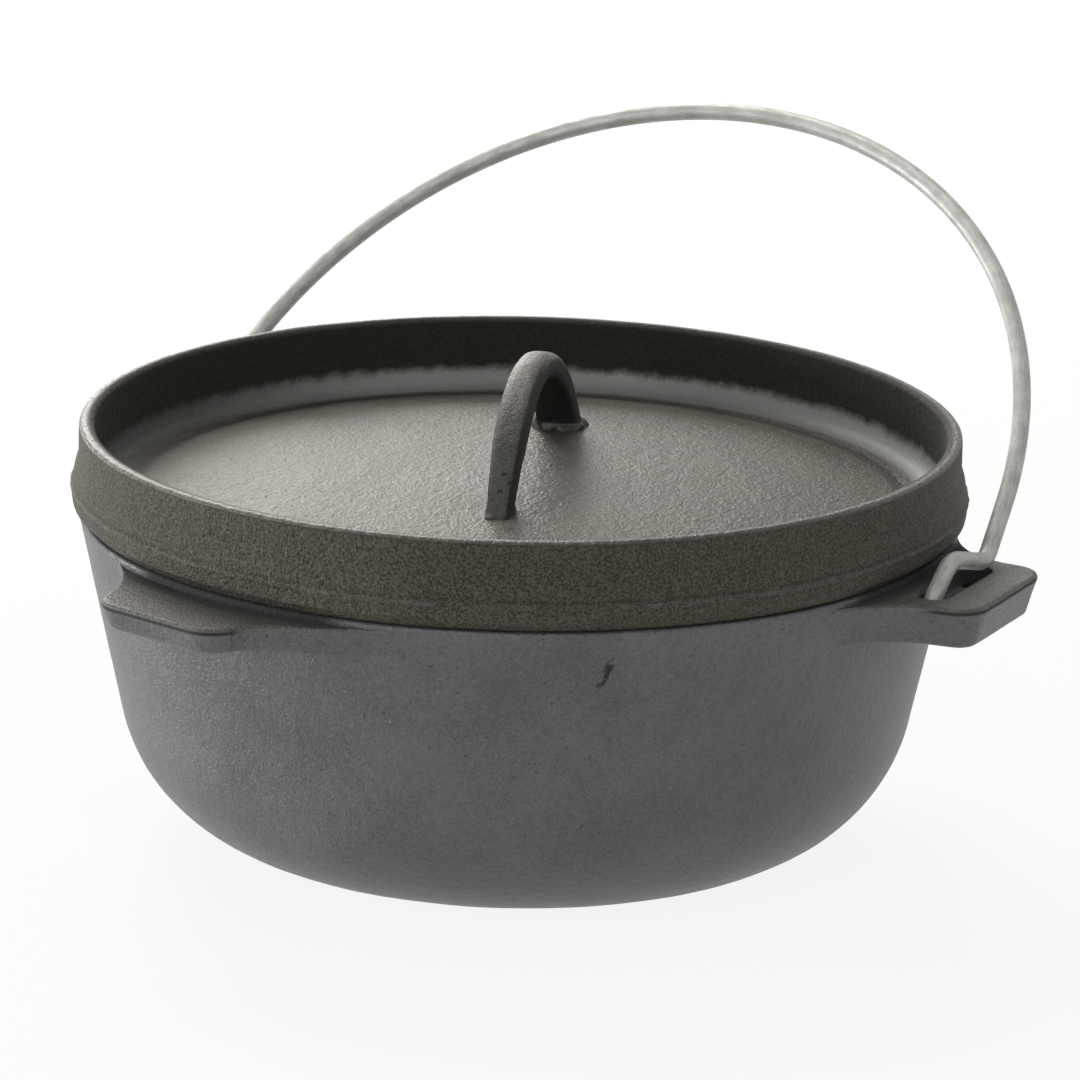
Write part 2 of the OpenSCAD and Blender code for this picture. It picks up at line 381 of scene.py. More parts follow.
def fuse(main: bpy.types.Object, others: Sequence[bpy.types.Object]) -> None:
    """Joins other solids to one by exact unions, and removes them.

    Args:
        main: the solid that keeps its name.
        others: the solids that it takes in.
    """
    for other in others:
        union = main.modifiers.new("union", "BOOLEAN")
        union.operation, union.solver, union.object = "UNION", "MANIFOLD", other
        shape = main.evaluated_get(bpy.context.evaluated_depsgraph_get())
        mesh = bpy.data.meshes.new_from_object(shape)
        main.modifiers.clear()
        old, main.data = main.data, mesh
        bpy.data.meshes.remove(old)
        bpy.data.objects.remove(other)
    main.data.name = main.name
    smooth(main.data, SHARP)


def settle(piece: bpy.types.Object, body: Body, node: str, finish: bpy.types.Material) -> None:
    """Gives a built piece its finish and hands it to the frame.

    Args:
        piece: the mesh that stands for a CAD node.
        body: the body that it rides on.
        node: the CAD node that it stands for.
        finish: its material.
    """
    piece.data.materials.clear()
    piece.data.materials.append(finish)
    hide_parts(node)
    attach(piece, body.value)
    LOG.info("%s: %d vertices on %s", piece.name, len(piece.data.vertices), body.value)


# Shader maths

Number = Union[float, "Value"]
Paint = Union[Colour, "Value"]


class Value:
    """A shader socket that takes part in arithmetic."""

    def __init__(self, graph: "Graph", socket: bpy.types.NodeSocket) -> None:
        """Wraps an output socket of a graph."""
        self.graph = graph
        self.socket = socket

    def _math(self, operation: str, first: Number, second: Number) -> "Value":
        """Adds one Math node."""
        return self.graph.node("ShaderNodeMath", {"operation": operation}, {0: first, 1: second})

    def __add__(self, other: Number) -> "Value":
        """Sum."""
        return self._math("ADD", self, other)

    def __radd__(self, other: Number) -> "Value":
        """Sum with a number first."""
        return self._math("ADD", other, self)

    def __sub__(self, other: Number) -> "Value":
        """Difference."""
        return self._math("SUBTRACT", self, other)

    def __rsub__(self, other: Number) -> "Value":
        """Difference from a number."""
        return self._math("SUBTRACT", other, self)

    def __mul__(self, other: Number) -> "Value":
        """Product."""
        return self._math("MULTIPLY", self, other)

    def __rmul__(self, other: Number) -> "Value":
        """Product with a number first."""
        return self._math("MULTIPLY", other, self)

    def __pow__(self, other: Number) -> "Value":
        """Power."""
        return self._math("POWER", self, other)

    def larger(self, other: Number) -> "Value":
        """The larger of two values."""
        return self._math("MAXIMUM", self, other)

    def size(self) -> "Value":
        """The value without its sign."""
        return self._math("ABSOLUTE", self, 0.0)

    def far(self, *others: "Value") -> "Value":
        """Length of the vector whose parts are this value and the others."""
        return sum((other ** 2.0 for other in others), self ** 2.0) ** 0.5

    def step(self, low: float, high: float) -> "Value":
        """Makes a mask.

        Args:
            low: where the mask is 0.
            high: where it is 1; it may be the smaller of the two.

        Returns:
            The mask, which runs smoothly between them.
        """
        return self.graph.node(
            "ShaderNodeMapRange",
            {"interpolation_type": "SMOOTHSTEP", "clamp": True},
            {0: self, 1: low, 2: high, 3: 0.0, 4: 1.0},
        )


@dataclass
class Surface:
    """What a finish says of each point.

    Attributes:
        colour: base colour.
        rough: roughness.
        height: height of the bump, about 0 to 1.
    """

    colour: Value
    rough: Number
    height: Value

    def paint(self, colour: Paint, share: Number) -> None:
        """Lays a colour over the one that is there."""
        self.colour = self.colour.graph.mix(self.colour, colour, share)


class Graph:
    """The node tree of a material or of the world."""

    def __init__(self, owner: Union[bpy.types.Material, bpy.types.World]) -> None:
        """Empties the owner's tree.

        Args:
            owner: the material or world.
        """
        owner.use_nodes = True
        self.owner = owner
        self.tree = owner.node_tree
        self.tree.nodes.clear()

    def node(self, kind: str, settings: dict, inputs: dict, out: Union[int, str] = 0) -> Value:
        """Adds any node.

        Args:
            kind: the node's type.
            settings: its properties, set first.
            inputs: values or links for its sockets, by number or name.
            out: the output that is returned, by number or name.

        Returns:
            That output.
        """
        made = self.tree.nodes.new(kind)
        for key, value in settings.items():
            setattr(made, key, value)
        for key, value in inputs.items():
            socket = made.inputs[key]
            if isinstance(value, Value):
                self.tree.links.new(value.socket, socket)
            elif socket.type == "RGBA":
                socket.default_value = (*value, 1.0)
            else:
                socket.default_value = value
        return Value(self, made.outputs[out] if len(made.outputs) else None)

    def mix(self, first: Paint, second: Paint, share: Number) -> Value:
        """Mixes two colours."""
        return self.node("ShaderNodeMix", {"data_type": "RGBA"}, {0: share, 6: first, 7: second}, 2)

    def split(self, vector: Value) -> tuple[Value, ...]:
        """The three parts of a vector."""
        parts = self.node("ShaderNodeSeparateXYZ", {}, {0: vector}).socket.node.outputs
        return tuple(Value(self, part) for part in parts)

    def mark(self, mark: Mark) -> Value:
        """A mesh attribute's vector."""
        return self.node("ShaderNodeAttribute", {"attribute_name": mark.value}, {}, "Vector")

    def place(self) -> Value:
        """The point's place in the piece's own axes, in metres."""
        return self.node("ShaderNodeTexCoord", {}, {}, "Object")

    def axes(self) -> tuple[Value, ...]:
        """The point's X, Y and Z in millimetres."""
        settings = {"operation": "SCALE"}
        return self.split(self.node("ShaderNodeVectorMath", settings, {0: self.place(), "Scale": 1 / MM}))

    def grain(self, size: float, detail: float, rough: float, shift: float,
              place: Optional[Value] = None) -> Value:
        """Makes noise from 0 to 1.

        Args:
            size: about the width of one grain in millimetres.
            detail: how many finer layers it has.
            rough: how strong those are.
            shift: moves to another stretch of the noise, in millimetres.
            place: where it is read, if not at the piece's own place.

        Returns:
            The noise.
        """
        at = place or self.place()
        if shift:
            at = self.node("ShaderNodeVectorMath", {"operation": "ADD"}, {0: at, 1: (shift * MM,) * 3})
        return self.node(
            "ShaderNodeTexNoise", {},
            {"Vector": at, "Scale": 1 / (size * MM), "Detail": detail, "Roughness": rough})

    def finish(self, skin: Surface, relief: float, gloss: float, tint: Colour = WHITE,
               metal: float = 0.0) -> bpy.types.Material:
        """Ends the tree in a Principled shader.

        Args:
            skin: colour, roughness and bump.
            relief: millimetres that a height of 1 stands for.
            gloss: specular level.
            tint: colour of the sheen.
            metal: metallic share.

        Returns:
            The material.
        """
        bump = self.node(
            "ShaderNodeBump", {}, {"Strength": 1.0, "Distance": relief * MM, "Height": skin.height})
        shader = self.node("ShaderNodeBsdfPrincipled", {}, {
            "Base Color": skin.colour,
            "Roughness": skin.rough,
            "Metallic": metal,
            "Normal": bump,
            "Specular IOR Level": gloss,
            "Specular Tint": tint,
        })
        self.node("ShaderNodeOutputMaterial", {}, {"Surface": shader})
        return self.owner


# Finishes

# Black laid as painted shade in the pot's nooks and slots and on the loop's flanks, underside and front
# foot, and as the colour of the real flaw and blow holes
SHADE_AND_MARK_BLACK = (0.008, 0.007, 0.006)
OIL_SHEEN = (1.0, 0.955, 0.87)


@dataclass(frozen=True)
class CastIron:
    """Sand-cast, oiled iron.

    Attributes:
        name: the material's name.
        deep: colour in the hollows of the skin.
        proud: colour on its grains.
        rough: middle roughness.
        relief: millimetres of bump.
        sand: width of a sand grain's mark.
        lump: width of a coarse mark, in grains.
        pit: width of a pit, in grains.
        blotch: width of a lighter or darker patch.
        speck: how strongly single grains stand out.
        gloss: the shader's specular level.
        tint: colour of the sheen.
        seed: shift of the noise.
    """

    name: str
    deep: Colour
    proud: Colour
    rough: float = 0.5
    relief: float = 0.5
    sand: float = 1.2
    lump: float = 3.1
    pit: float = 1.7
    blotch: float = 38.0
    speck: float = 0.7
    gloss: float = 0.5
    tint: Colour = OIL_SHEEN
    seed: float = 0.0

    def skin(self, graph: Graph) -> Surface:
        """Builds what all castings share: grain, patches and pits.

        Args:
            graph: the material's tree.

        Returns:
            The surface.
        """
        sand = graph.grain(self.sand, 2.0, 0.6, self.seed)
        coarse = graph.grain(self.lump * self.sand, 2.0, 0.55, self.seed + 31)
        patch = graph.grain(self.blotch, 3.0, 0.6, self.seed + 77)
        pits = graph.grain(self.pit * self.sand, 1.0, 0.5, self.seed + 143).step(0.68, 0.8)
        tone = 0.5 + (sand - 0.5) * (2.4 * self.speck) + (coarse - 0.5) * 0.4 + (patch - 0.5) * 0.9
        skin = Surface(
            colour=graph.mix(self.deep, self.proud, tone.step(0.0, 1.0)),
            rough=self.rough + (sand - 0.5) * 0.25 + (patch - 0.5) * 0.12,
            height=sand * 0.6 + coarse * 0.6 - pits * 0.5,
        )
        skin.paint(tuple(0.4 * c for c in self.deep), pits * 0.7)
        return skin

    def wear(self, graph: Graph, skin: Surface) -> None:
        """Adds the marks of one casting; each finish has its own."""
        raise NotImplementedError

    def material(self) -> bpy.types.Material:
        """Makes the finish.

        Returns:
            The material.
        """
        graph = Graph(bpy.data.materials.new(self.name))
        skin = self.skin(graph)
        self.wear(graph, skin)
        return graph.finish(skin, self.relief, self.gloss, self.tint)


@dataclass(frozen=True)
class PotIron(CastIron):
    """The pot's iron: brown on top of its ears and lug, with painted shade in the nooks beside the lid, in
    the slots and under the tops' outer edges, and one short flaw.

    Attributes:
        ear_turn: angle of the ears.
        oiled: colours of the brown tops, in the hollows and on the grains.
        top_up: heights of the tops.
        top_out: radii of the tops.
        edge_z: height of the painted shade line just under the tops' outer edges.
        edge_w: its half width.
        edge_out: radii of that line.
        ear_nook: half width of the painted shade in the nook between an ear and the lid.
        lug_nook: angle and half width of the painted shade in the nook between the lug and the lid.
        nook_fade: length over which a nook's ends fade.
        nook_side: reach along a nook's angle, which keeps the far side out.
        nook_up: heights of the nooks.
        nook_out: radii of the nooks.
        slot_out: inner and outer reach of a slot.
        slot_half: its half length.
        slot_soft: width over which its mask fades.
        slot_top: heights at its upper end.
        slot_low: heights at its lower end.
        flaw: both ends of the flaw.
        flaw_w: its half width.
        flaw_rag: how far its line wanders.
    """

    name: str = "pot_iron_skin"
    deep: Colour = (0.042, 0.042, 0.044)
    proud: Colour = (0.12, 0.119, 0.123)
    rough: float = 0.43
    relief: float = 0.7
    sand: float = 0.9
    speck: float = 0.6
    gloss: float = 0.65
    tint: Colour = WHITE
    ear_turn: float = 7.25
    oiled: tuple[Colour, Colour] = ((0.012, 0.011, 0.008), (0.10, 0.092, 0.073))
    top_up: Span = (108.6, 109.6)
    top_out: Span = (147.4, 149.0)
    edge_z: float = 108.3
    edge_w: Span = (0.9, 0.3)
    edge_out: Span = (162.0, 170.0)
    ear_nook: float = 46.0
    lug_nook: tuple[float, float] = (263.0, 48.0)
    nook_fade: float = 12.0
    nook_side: Span = (60.0, 80.0)
    nook_up: Span = (109.2, 109.8)
    nook_out: Span = (156.0, 149.5)
    slot_out: tuple[float, float] = (153.2, 165.2)
    slot_half: float = 23.0
    slot_soft: float = 0.4
    slot_top: Span = (108.8, 108.2)
    slot_low: Span = (94.0, 95.0)
    flaw: tuple[Place, Place] = ((99.3, -104.1, 93.0), (102.8, -103.2, 102.0))
    flaw_w: Span = (1.4, 0.42)
    flaw_rag: float = 9.0

    def nooks(self, at: Sequence[Value]) -> Value:
        """Finds the corners between the lid and the tops of the ears and the lug, which take painted
        shade.

        Args:
            at: the point's X, Y and Z.

        Returns:
            1 in the corners.
        """
        x, y, z = at
        near: Number = 0.0
        ears = ((turn, self.ear_nook) for turn in (self.ear_turn, 180.0 - self.ear_turn))
        for middle, half in (*ears, self.lug_nook):
            c, s = heading(middle)
            across = (y * c - x * s).size().step(half, half - self.nook_fade)
            near = (across * (x * c + y * s).step(*self.nook_side)).larger(near)
        return near * z.step(*self.nook_up) * x.far(y).step(*self.nook_out)

    def slots(self, at: Sequence[Value]) -> Value:
        """Finds the walls of both slots, which take painted shade.

        Args:
            at: the point's X, Y and Z.

        Returns:
            1 on the walls.
        """
        x, y, z = at
        c, s = heading(self.ear_turn)
        out, along = x.size() * c + y * s, y * c - x.size() * s
        (near, far), half, soft = self.slot_out, self.slot_half, self.slot_soft
        across = out.step(near - soft, near) * out.step(far + soft, far)
        tall = z.step(*self.slot_top) * z.step(*self.slot_low)
        return across * along.size().step(half + soft, half) * tall

    def nick(self, graph: Graph, at: Sequence[Value]) -> Value:
        """Finds the flaw, a short ragged line down the wall.

        Args:
            graph: the material's tree.
            at: the point's X, Y and Z.

        Returns:
            1 in the flaw.
        """
        x, y, z = at
        rag = graph.grain(3.4, 2.0, 0.6, 700.0) - 0.5
        (ax, ay, az), (bx, by, bz) = self.flaw
        run = (z - az) * (1 / (bz - az))
        off = (x - ax - run * (bx - ax) + rag * self.flaw_rag).far(y - ay - run * (by - ay))
        return off.step(*self.flaw_w) * (run - 0.5).size().step(0.7, 0.3)

    def wear(self, graph: Graph, skin: Surface) -> None:
        """Paints the brown tops, painted shade under their outer edges, in the slots and in the nooks
        beside them, and the flaw.

        Args:
            graph: the material's tree.
            skin: the surface that takes the marks.
        """
        at = graph.axes()
        x, y, z = at
        reach = x.far(y)
        top = z.step(*self.top_up) * reach.step(*self.top_out)
        skin.paint(graph.mix(*self.oiled, graph.grain(1.0, 2.0, 0.7, 610.0).step(0.32, 0.7)), top)
        # Painted shade: a black line under the tops' outer edges, the slots' walls and the nooks under the
        # lid, which are also made rougher
        edge = (z - self.edge_z).size().step(*self.edge_w) * reach.step(*self.edge_out)
        shade_mask = edge.larger(self.slots(at)).larger(self.nooks(at))
        skin.paint(SHADE_AND_MARK_BLACK, shade_mask * 0.9)
        nick = self.nick(graph, at)
        skin.paint(SHADE_AND_MARK_BLACK, nick)
        skin.rough = skin.rough + shade_mask * 0.45 + top * 0.15 + nick * 0.45
        skin.height = skin.height - nick * 1.6


@dataclass(frozen=True)
class LidIron(CastIron):
    """The lid's iron: a lighter wear band in the tray's corner, painted shade on the tray's wall and in
    the groove, painted highlights on the rim's top and the mould line, and crumbly outside.

    Heights are above the lid's seat.

    Attributes:
        seat_z: height of the seat.
        wear_and_highlight: colour of the corner's wear band, and of the painted highlights on the rim's
            top and along the mould line.
        painted_shade_colour: colour of the painted shade in the groove, on the tray's wall and along the
            mould line.
        corner_up: heights at the ragged upper edge of the corner's wear band.
        corner_out: radii at its inner edge.
        lit_way: direction, as shares of X and Y, of the side on which the wear band is painted lighter;
            towards the other side it is painted darker, as painted shade.
        lit_fade: distances along it over which that painted shade gives way to the full band.
        wall_up: heights at the foot of the tray's wall.
        wall_out: radii at that foot.
        bore_out: radii inside the rim at which the tray ends.
        rub_end: radii inside the rim at which the rubbing ends.
        brim_up: heights of the rim's top.
        outer_out: radii at which the outside begins.
        crumb: width of the outside's grains.
        groove_r: radius of the groove.
        groove_w: its half width.
        groove_up: heights of the groove.
        flange_out: radii of the flange.
        seam_z: height of the mould line.
        seam_w: its half width.
        shade_up: how far the painted shadow line lies above it.
        shade_w: half width of the painted shadow line.
    """

    name: str = "lid_iron_skin"
    deep: Colour = (0.008, 0.007, 0.005)
    proud: Colour = (0.083, 0.073, 0.054)
    relief: float = 0.85
    sand: float = 1.15
    speck: float = 1.1
    gloss: float = 0.45
    seed: float = 400.0
    seat_z: float = 112.8
    wear_and_highlight: Colour = (0.27, 0.27, 0.264)
    painted_shade_colour: Colour = (0.007, 0.006, 0.005)
    corner_up: Span = (14.2, 9.8)
    corner_out: Span = (132.5, 136.0)
    lit_way: tuple[float, float] = (0.84, 0.54)
    lit_fade: Span = (-125.0, -30.0)
    wall_up: Span = (6.0, 9.0)
    wall_out: Span = (133.0, 139.0)
    bore_out: Span = (146.0, 144.0)
    rub_end: Span = (147.0, 145.0)
    brim_up: Span = (28.2, 29.4)
    outer_out: Span = (145.0, 147.5)
    crumb: float = 0.8
    groove_r: float = 129.8
    groove_w: Span = (4.0, 0.8)
    groove_up: Span = (8.6, 6.4)
    flange_out: Span = (148.6, 149.6)
    seam_z: float = 8.9
    seam_w: Span = (0.8, 0.24)
    shade_up: float = 1.5
    shade_w: Span = (0.9, 0.2)

    def wear(self, graph: Graph, skin: Surface) -> None:
        """Paints the tray with its wear band and painted shade, the rim's top and the outside, the
        groove's painted shade, and the mould line's painted highlight and painted shadow line.

        Args:
            graph: the material's tree.
            skin: the surface that takes the marks.
        """
        x, y, z = graph.axes()
        reach, up = x.far(y), z - self.seat_z
        rag = graph.grain(7.0, 3.0, 0.6, 820.0) - 0.5
        fine = graph.grain(1.6, 2.0, 0.6, 860.0) - 0.5

        # The tray's corner and wall: a lighter wear band that fades towards one side as painted shade, and
        # painted shade on the wall
        way_x, way_y = self.lit_way
        # The wear band is painted darker towards one side, as painted shade
        lit_side = 0.3 + (x * way_x + y * way_y).step(*self.lit_fade) * 0.7
        ring = reach.step(*self.corner_out) * reach.step(*self.rub_end)
        wear_and_highlight = (up + rag * 5.0 + fine * 1.3).step(*self.corner_up) * ring * lit_side
        # The tray's wall is painted near black, as painted shade
        wall = reach.step(*self.wall_out) * reach.step(*self.bore_out) * up.step(*self.wall_up)
        tray = wall * (1.0 - wear_and_highlight)
        skin.paint(self.painted_shade_colour, tray * 0.8)
        skin.paint(self.wear_and_highlight, wear_and_highlight * 0.8)

        # The rim's top, painted a little lighter, part wear and part painted highlight, and the outside
        brim = up.step(*self.brim_up)
        skin.paint(self.wear_and_highlight, brim * 0.08)
        outer = reach.step(*self.outer_out) * (1.0 - brim)
        crumb = graph.grain(self.crumb, 2.0, 0.7, 1060.0)
        light = tuple(1.35 * part for part in self.proud)
        skin.paint(graph.mix(self.deep, light, (crumb * 4.6 - 1.8).step(0.0, 1.0)), outer * 0.75)

        # Painted shade in the groove, and the mould line with its painted highlight and painted shadow
        # line
        sunk = (reach - self.groove_r).size().step(*self.groove_w) * up.step(*self.groove_up)
        skin.paint(self.painted_shade_colour, sunk * 0.8)
        flange = reach.step(*self.flange_out)
        line = up - self.seam_z + rag * 1.2
        # A painted highlight along the mould line's ridge, then a painted shadow line just above it
        seam_highlight = line.size().step(*self.seam_w) * flange * (rag + 0.5).step(0.3, 0.75)
        skin.paint(self.wear_and_highlight, seam_highlight * 0.28)
        shade = (line - self.shade_up).size().step(*self.shade_w) * flange * (rag + 0.5).step(0.7, 0.35)
        skin.paint(self.painted_shade_colour, shade * 0.6)

        skin.rough = skin.rough - wear_and_highlight * 0.06 - brim * 0.05 + tray * 0.42 + outer * 0.2
        skin.height = skin.height * (1.0 - wear_and_highlight * 0.7 + outer * 0.9) + crumb * outer * 0.8


@dataclass(frozen=True)
class LoopIron(CastIron):
    """The loop's iron: a brown strap with three blow holes, painted shade on its flanks, underside and
    front foot, and painted light on the pad at its back foot.

    Attributes:
        pad_lit: colour of the painted light on the front of the ragged pad at the back foot.
        pad_h: height of that pad.
        dome: height of the dome's crown and radius of its curve.
        holes: places of the blow holes.
        hole_r: their radius.
    """

    name: str = "loop_iron_skin"
    deep: Colour = (0.014, 0.013, 0.011)
    proud: Colour = (0.085, 0.080, 0.068)
    sand: float = 0.9
    gloss: float = 0.4
    seed: float = 900.0
    pad_lit: Colour = (0.2, 0.2, 0.19)
    pad_h: float = 2.6
    dome: tuple[float, float] = (129.3, 783.75)
    holes: tuple[Place, ...] = ((24.8, -48.4, 139.4), (27.4, -48.6, 136.8), (25.7, -51.9, 134.6))
    hole_r: float = 0.75

    def wear(self, graph: Graph, skin: Surface) -> None:
        """Lays painted shade on the flanks, the underside and the front foot, painted light on the back
        foot's pad, and the holes.

        Args:
            graph: the material's tree.
            skin: the surface that takes the marks.
        """
        x, y, z = graph.axes()
        crown, bow = self.dome
        above = z - crown + (x ** 2.0 + y ** 2.0) * (0.5 / bow)
        rag = graph.grain(2.4, 2.0, 0.6, 930.0) - 0.5
        side, lift, run = graph.split(graph.mark(Mark.STRAP))
        # Painted shade on both flanks, on one side of the front half and on the strap's underside, which
        # are also made rougher
        flanks = (side.size() + rag * 0.12).step(0.86, 0.98)
        front_flank = (0.0 - side + rag * 0.2).step(0.62, 0.8) * run.step(0.2, -0.2)
        shade_mask = flanks.larger(front_flank).larger(lift.step(-0.2, -0.6))
        skin.paint(SHADE_AND_MARK_BLACK, shade_mask * 0.95)
        skin.rough = skin.rough + shade_mask * 0.3
        # Painted shade where the front foot meets the dome
        foot_shade = (above + rag * 3.0).step(2.2, 0.8) * run.step(0.1, -0.1)
        skin.paint(SHADE_AND_MARK_BLACK, foot_shade * 0.85)
        # Painted light on the back foot's pad, as if its front face caught the light
        pad = (above + rag * 2.0).step(self.pad_h + 0.5, self.pad_h - 0.5) * run.step(-0.1, 0.1)
        skin.paint(self.pad_lit, pad * rag.step(-0.25, 0.2))
        for hole_x, hole_y, hole_z in self.holes:
            off = (x - hole_x).far(y - hole_y, z - hole_z)
            hole = off.step(1.3 * self.hole_r, 0.7 * self.hole_r)
            skin.paint(SHADE_AND_MARK_BLACK, hole)
            skin.height = skin.height - hole


@dataclass(frozen=True)
class Galvanised:
    """Drawn steel wire with a satin coat of zinc.

    Attributes:
        name: the material's name.
        zinc: colour of the coat.
        dull: colour where it has dulled.
        rough: middle roughness.
        relief: millimetres of bump.
        metal: metallic share.
        gloss: the shader's specular level.
    """

    name: str = "galvanised_wire"
    zinc: Colour = (0.56, 0.565, 0.53)
    dull: Colour = (0.34, 0.345, 0.315)
    rough: float = 0.52
    relief: float = 0.06
    metal: float = 0.3
    gloss: float = 0.25

    def material(self) -> bpy.types.Material:
        """Makes the finish, with streaks along the wire.

        Returns:
            The material.
        """
        graph = Graph(bpy.data.materials.new(self.name))
        streak = graph.grain(1.0, 3.0, 0.6, 0.0, graph.mark(Mark.WIRE))
        cloud = graph.grain(9.0, 3.0, 0.6, 12.0)
        fine = graph.grain(0.7, 2.0, 0.6, 40.0)
        wear = ((streak - 0.5) * 0.9 + (cloud - 0.5) * 0.9 + 0.5).step(0.15, 0.95)
        skin = Surface(
            colour=graph.mix(self.zinc, self.dull, wear),
            rough=self.rough + (cloud - 0.5) * 0.2 + (streak - 0.5) * 0.2,
            height=streak * 0.6 + fine * 0.4,
        )
        return graph.finish(skin, self.relief, self.gloss, metal=self.metal)


# The pot


@dataclass
class Wall:
    """The pot's leaning wall, shared by the body, the ears and the lug.

    Attributes:
        rim_r: outer radius of the rim.
        rim_z: height of the rim.
        draft: lean of the wall.
        thick: its thickness.
    """

    rim_r: float = 148.0
    rim_z: float = 112.5
    draft: float = 12.5
    thick: float = 6.0

    def radius(self, z: float, depth: float = 0.0) -> float:
        """Outer radius at a height, less a depth into the wall."""
        return self.rim_r - (self.rim_z - z) * math.tan(math.radians(self.draft)) - depth

    def outside(self, y: float, z: float) -> tuple[float, float]:
        """Point of the wall at a distance y from the middle of an ear or lug."""
        return math.sqrt(self.radius(z) ** 2 - y * y), y


@dataclass
class Tab:
    """An ear or lug cast on the wall: flat on top, drawn in towards its underside.

    Attributes:
        wall: the wall that it stands on.
        angle: where it stands.
        reach: how far its tip stands out from the rim.
        root_w: width at the wall, without the flares.
        tip_w: width at the tip.
        thick: height of its side.
        corner_r: radius of the tip's corners.
        run_in: how far its flat faces run in before they are closed.
        skew: shift of the root along the wall.
        flares: run of the flare on each side, along the wall.
        flare_in: share of a side that curves into its flare.
        draft: lean of the side.
        top: height of its top.
        edge: radius of the upper edge.
        under_r: radius of the lower edge.
        root_in: depth of its root in the wall.
        foot_in: depth of the flares' feet.
        root_slope: how much of an inset comes off the root's depth.
        counts: points of half the tip, of one side and of half the root.
    """

    wall: Wall
    angle: float
    reach: float
    root_w: float
    tip_w: float
    thick: float
    corner_r: float
    run_in: float
    skew: float = 0.0
    flares: tuple[float, float] = (26.0, 26.0)
    flare_in: float = 0.62
    draft: float = 17.0
    top: float = 110.0
    edge: float = 1.5
    under_r: float = 2.2
    root_in: float = 4.2
    foot_in: float = 0.25
    root_slope: float = 0.2
    counts: tuple[int, int, int] = (25, 57, 29)

    # Least radius of a corner, its arc's steps, and points of a drawn flare and root
    least_r: ClassVar[float] = 0.5
    arc_steps: ClassVar[int] = 10
    flare_points: ClassVar[int] = 25
    root_points: ClassVar[int] = 24

    def lean(self) -> float:
        """How far the underside is drawn in."""
        return self.thick * math.tan(math.radians(self.draft))

    def half(self, side: int, inset: float, z: float, depth: float) -> Points:
        """Draws one side of the outline, from the middle of the tip to the middle of the root.

        Args:
            side: 1 or -1.
            inset: how far it is drawn in all round.
            z: the height.
            depth: how deep in the wall its root lies.

        Returns:
            The points in the tab's own axes.
        """
        wall = self.wall
        tip = wall.rim_r + self.reach - inset
        root = np.array(wall.outside(self.skew + side * (self.root_w / 2 - inset), z))
        corner = np.array([tip, side * (self.tip_w / 2 - inset)])
        meet = math.atan2(root[1], root[0]) + side * self.flares[side < 0] / wall.rim_r
        foot = wall.radius(z, self.foot_in) * np.array([math.cos(meet), math.sin(meet)])
        down = unit(root - corner)
        along = np.array([-math.sin(meet), math.cos(meet)])
        run = np.linalg.solve(np.stack([down, -along], axis=1), foot - corner)[0]
        bend_at = corner + down * run
        start = corner + down * run * (1 - self.flare_in)
        corner_r = max(self.corner_r - inset, self.least_r)
        line = rounded([
            Corner((tip, 0.0)), Corner(tuple(corner), corner_r, self.arc_steps), Corner(tuple(start))])
        share = np.linspace(0.0, 1.0, self.flare_points + 1)[1:, None]
        flare = start * (1 - share) ** 2 + bend_at * (2 * share * (1 - share)) + foot * share ** 2
        back = self.root(wall.radius(z, depth), meet, self.skew)
        front, flank = self.parted(line)
        return self.joined((front, np.concatenate([flank, flare]), np.concatenate([foot[None], back])), z)

    def root(self, radius: float, meet: float, middle: float) -> Points:
        """Draws the root's arc in the wall.

        Args:
            radius: the arc's radius.
            meet: angle, in radians, at which it starts.
            middle: distance from the tab's middle line at which it ends.

        Returns:
            The arc's points.
        """
        swing = np.linspace(meet, math.asin(middle / radius), self.root_points)
        return radius * np.stack([np.cos(swing), np.sin(swing)], axis=1)

    def parted(self, line: Points) -> tuple[Points, Points]:
        """Parts a line at the middle of its first corner's arc."""
        bend = 1 + self.arc_steps // 2
        return line[:bend + 1], line[bend:]

    def joined(self, stretches: Sequence[Points], z: float) -> Points:
        """Joins the stretches of one side, each resampled to its own count.

        Args:
            stretches: half the tip, the side and half the root.
            z: the height.

        Returns:
            The side's points.
        """
        parts = [resampled(s, n)[:-1] for s, n in zip(stretches, self.counts)]
        flat = np.concatenate([*parts, stretches[-1][-1:]])
        return np.column_stack([flat, np.full(len(flat), z)])

    @staticmethod
    def around(left: Points, right: Points) -> Points:
        """Closes two sides into one loop."""
        return np.concatenate([left[:-1], right[:0:-1]])

    def outer(self, inset: float, z: float) -> Points:
        """The whole outline at an inset and a height, with its root inside the wall."""
        depth = self.root_in - self.root_slope * inset
        return self.around(self.half(1, inset, z, depth), self.half(-1, inset, z, depth))

    def flank(self) -> Points:
        """Draws the section of the outer side, from below to above.

        Returns:
            Rows of inset and height.
        """
        base = self.top - self.thick
        line = rounded([
            Corner((self.lean() + self.run_in, base)),
            Corner((self.lean(), base), self.under_r, 5),
            Corner((0.0, self.top), self.edge, 5),
            Corner((self.run_in, self.top)),
        ])
        return densified(line, 2.0)


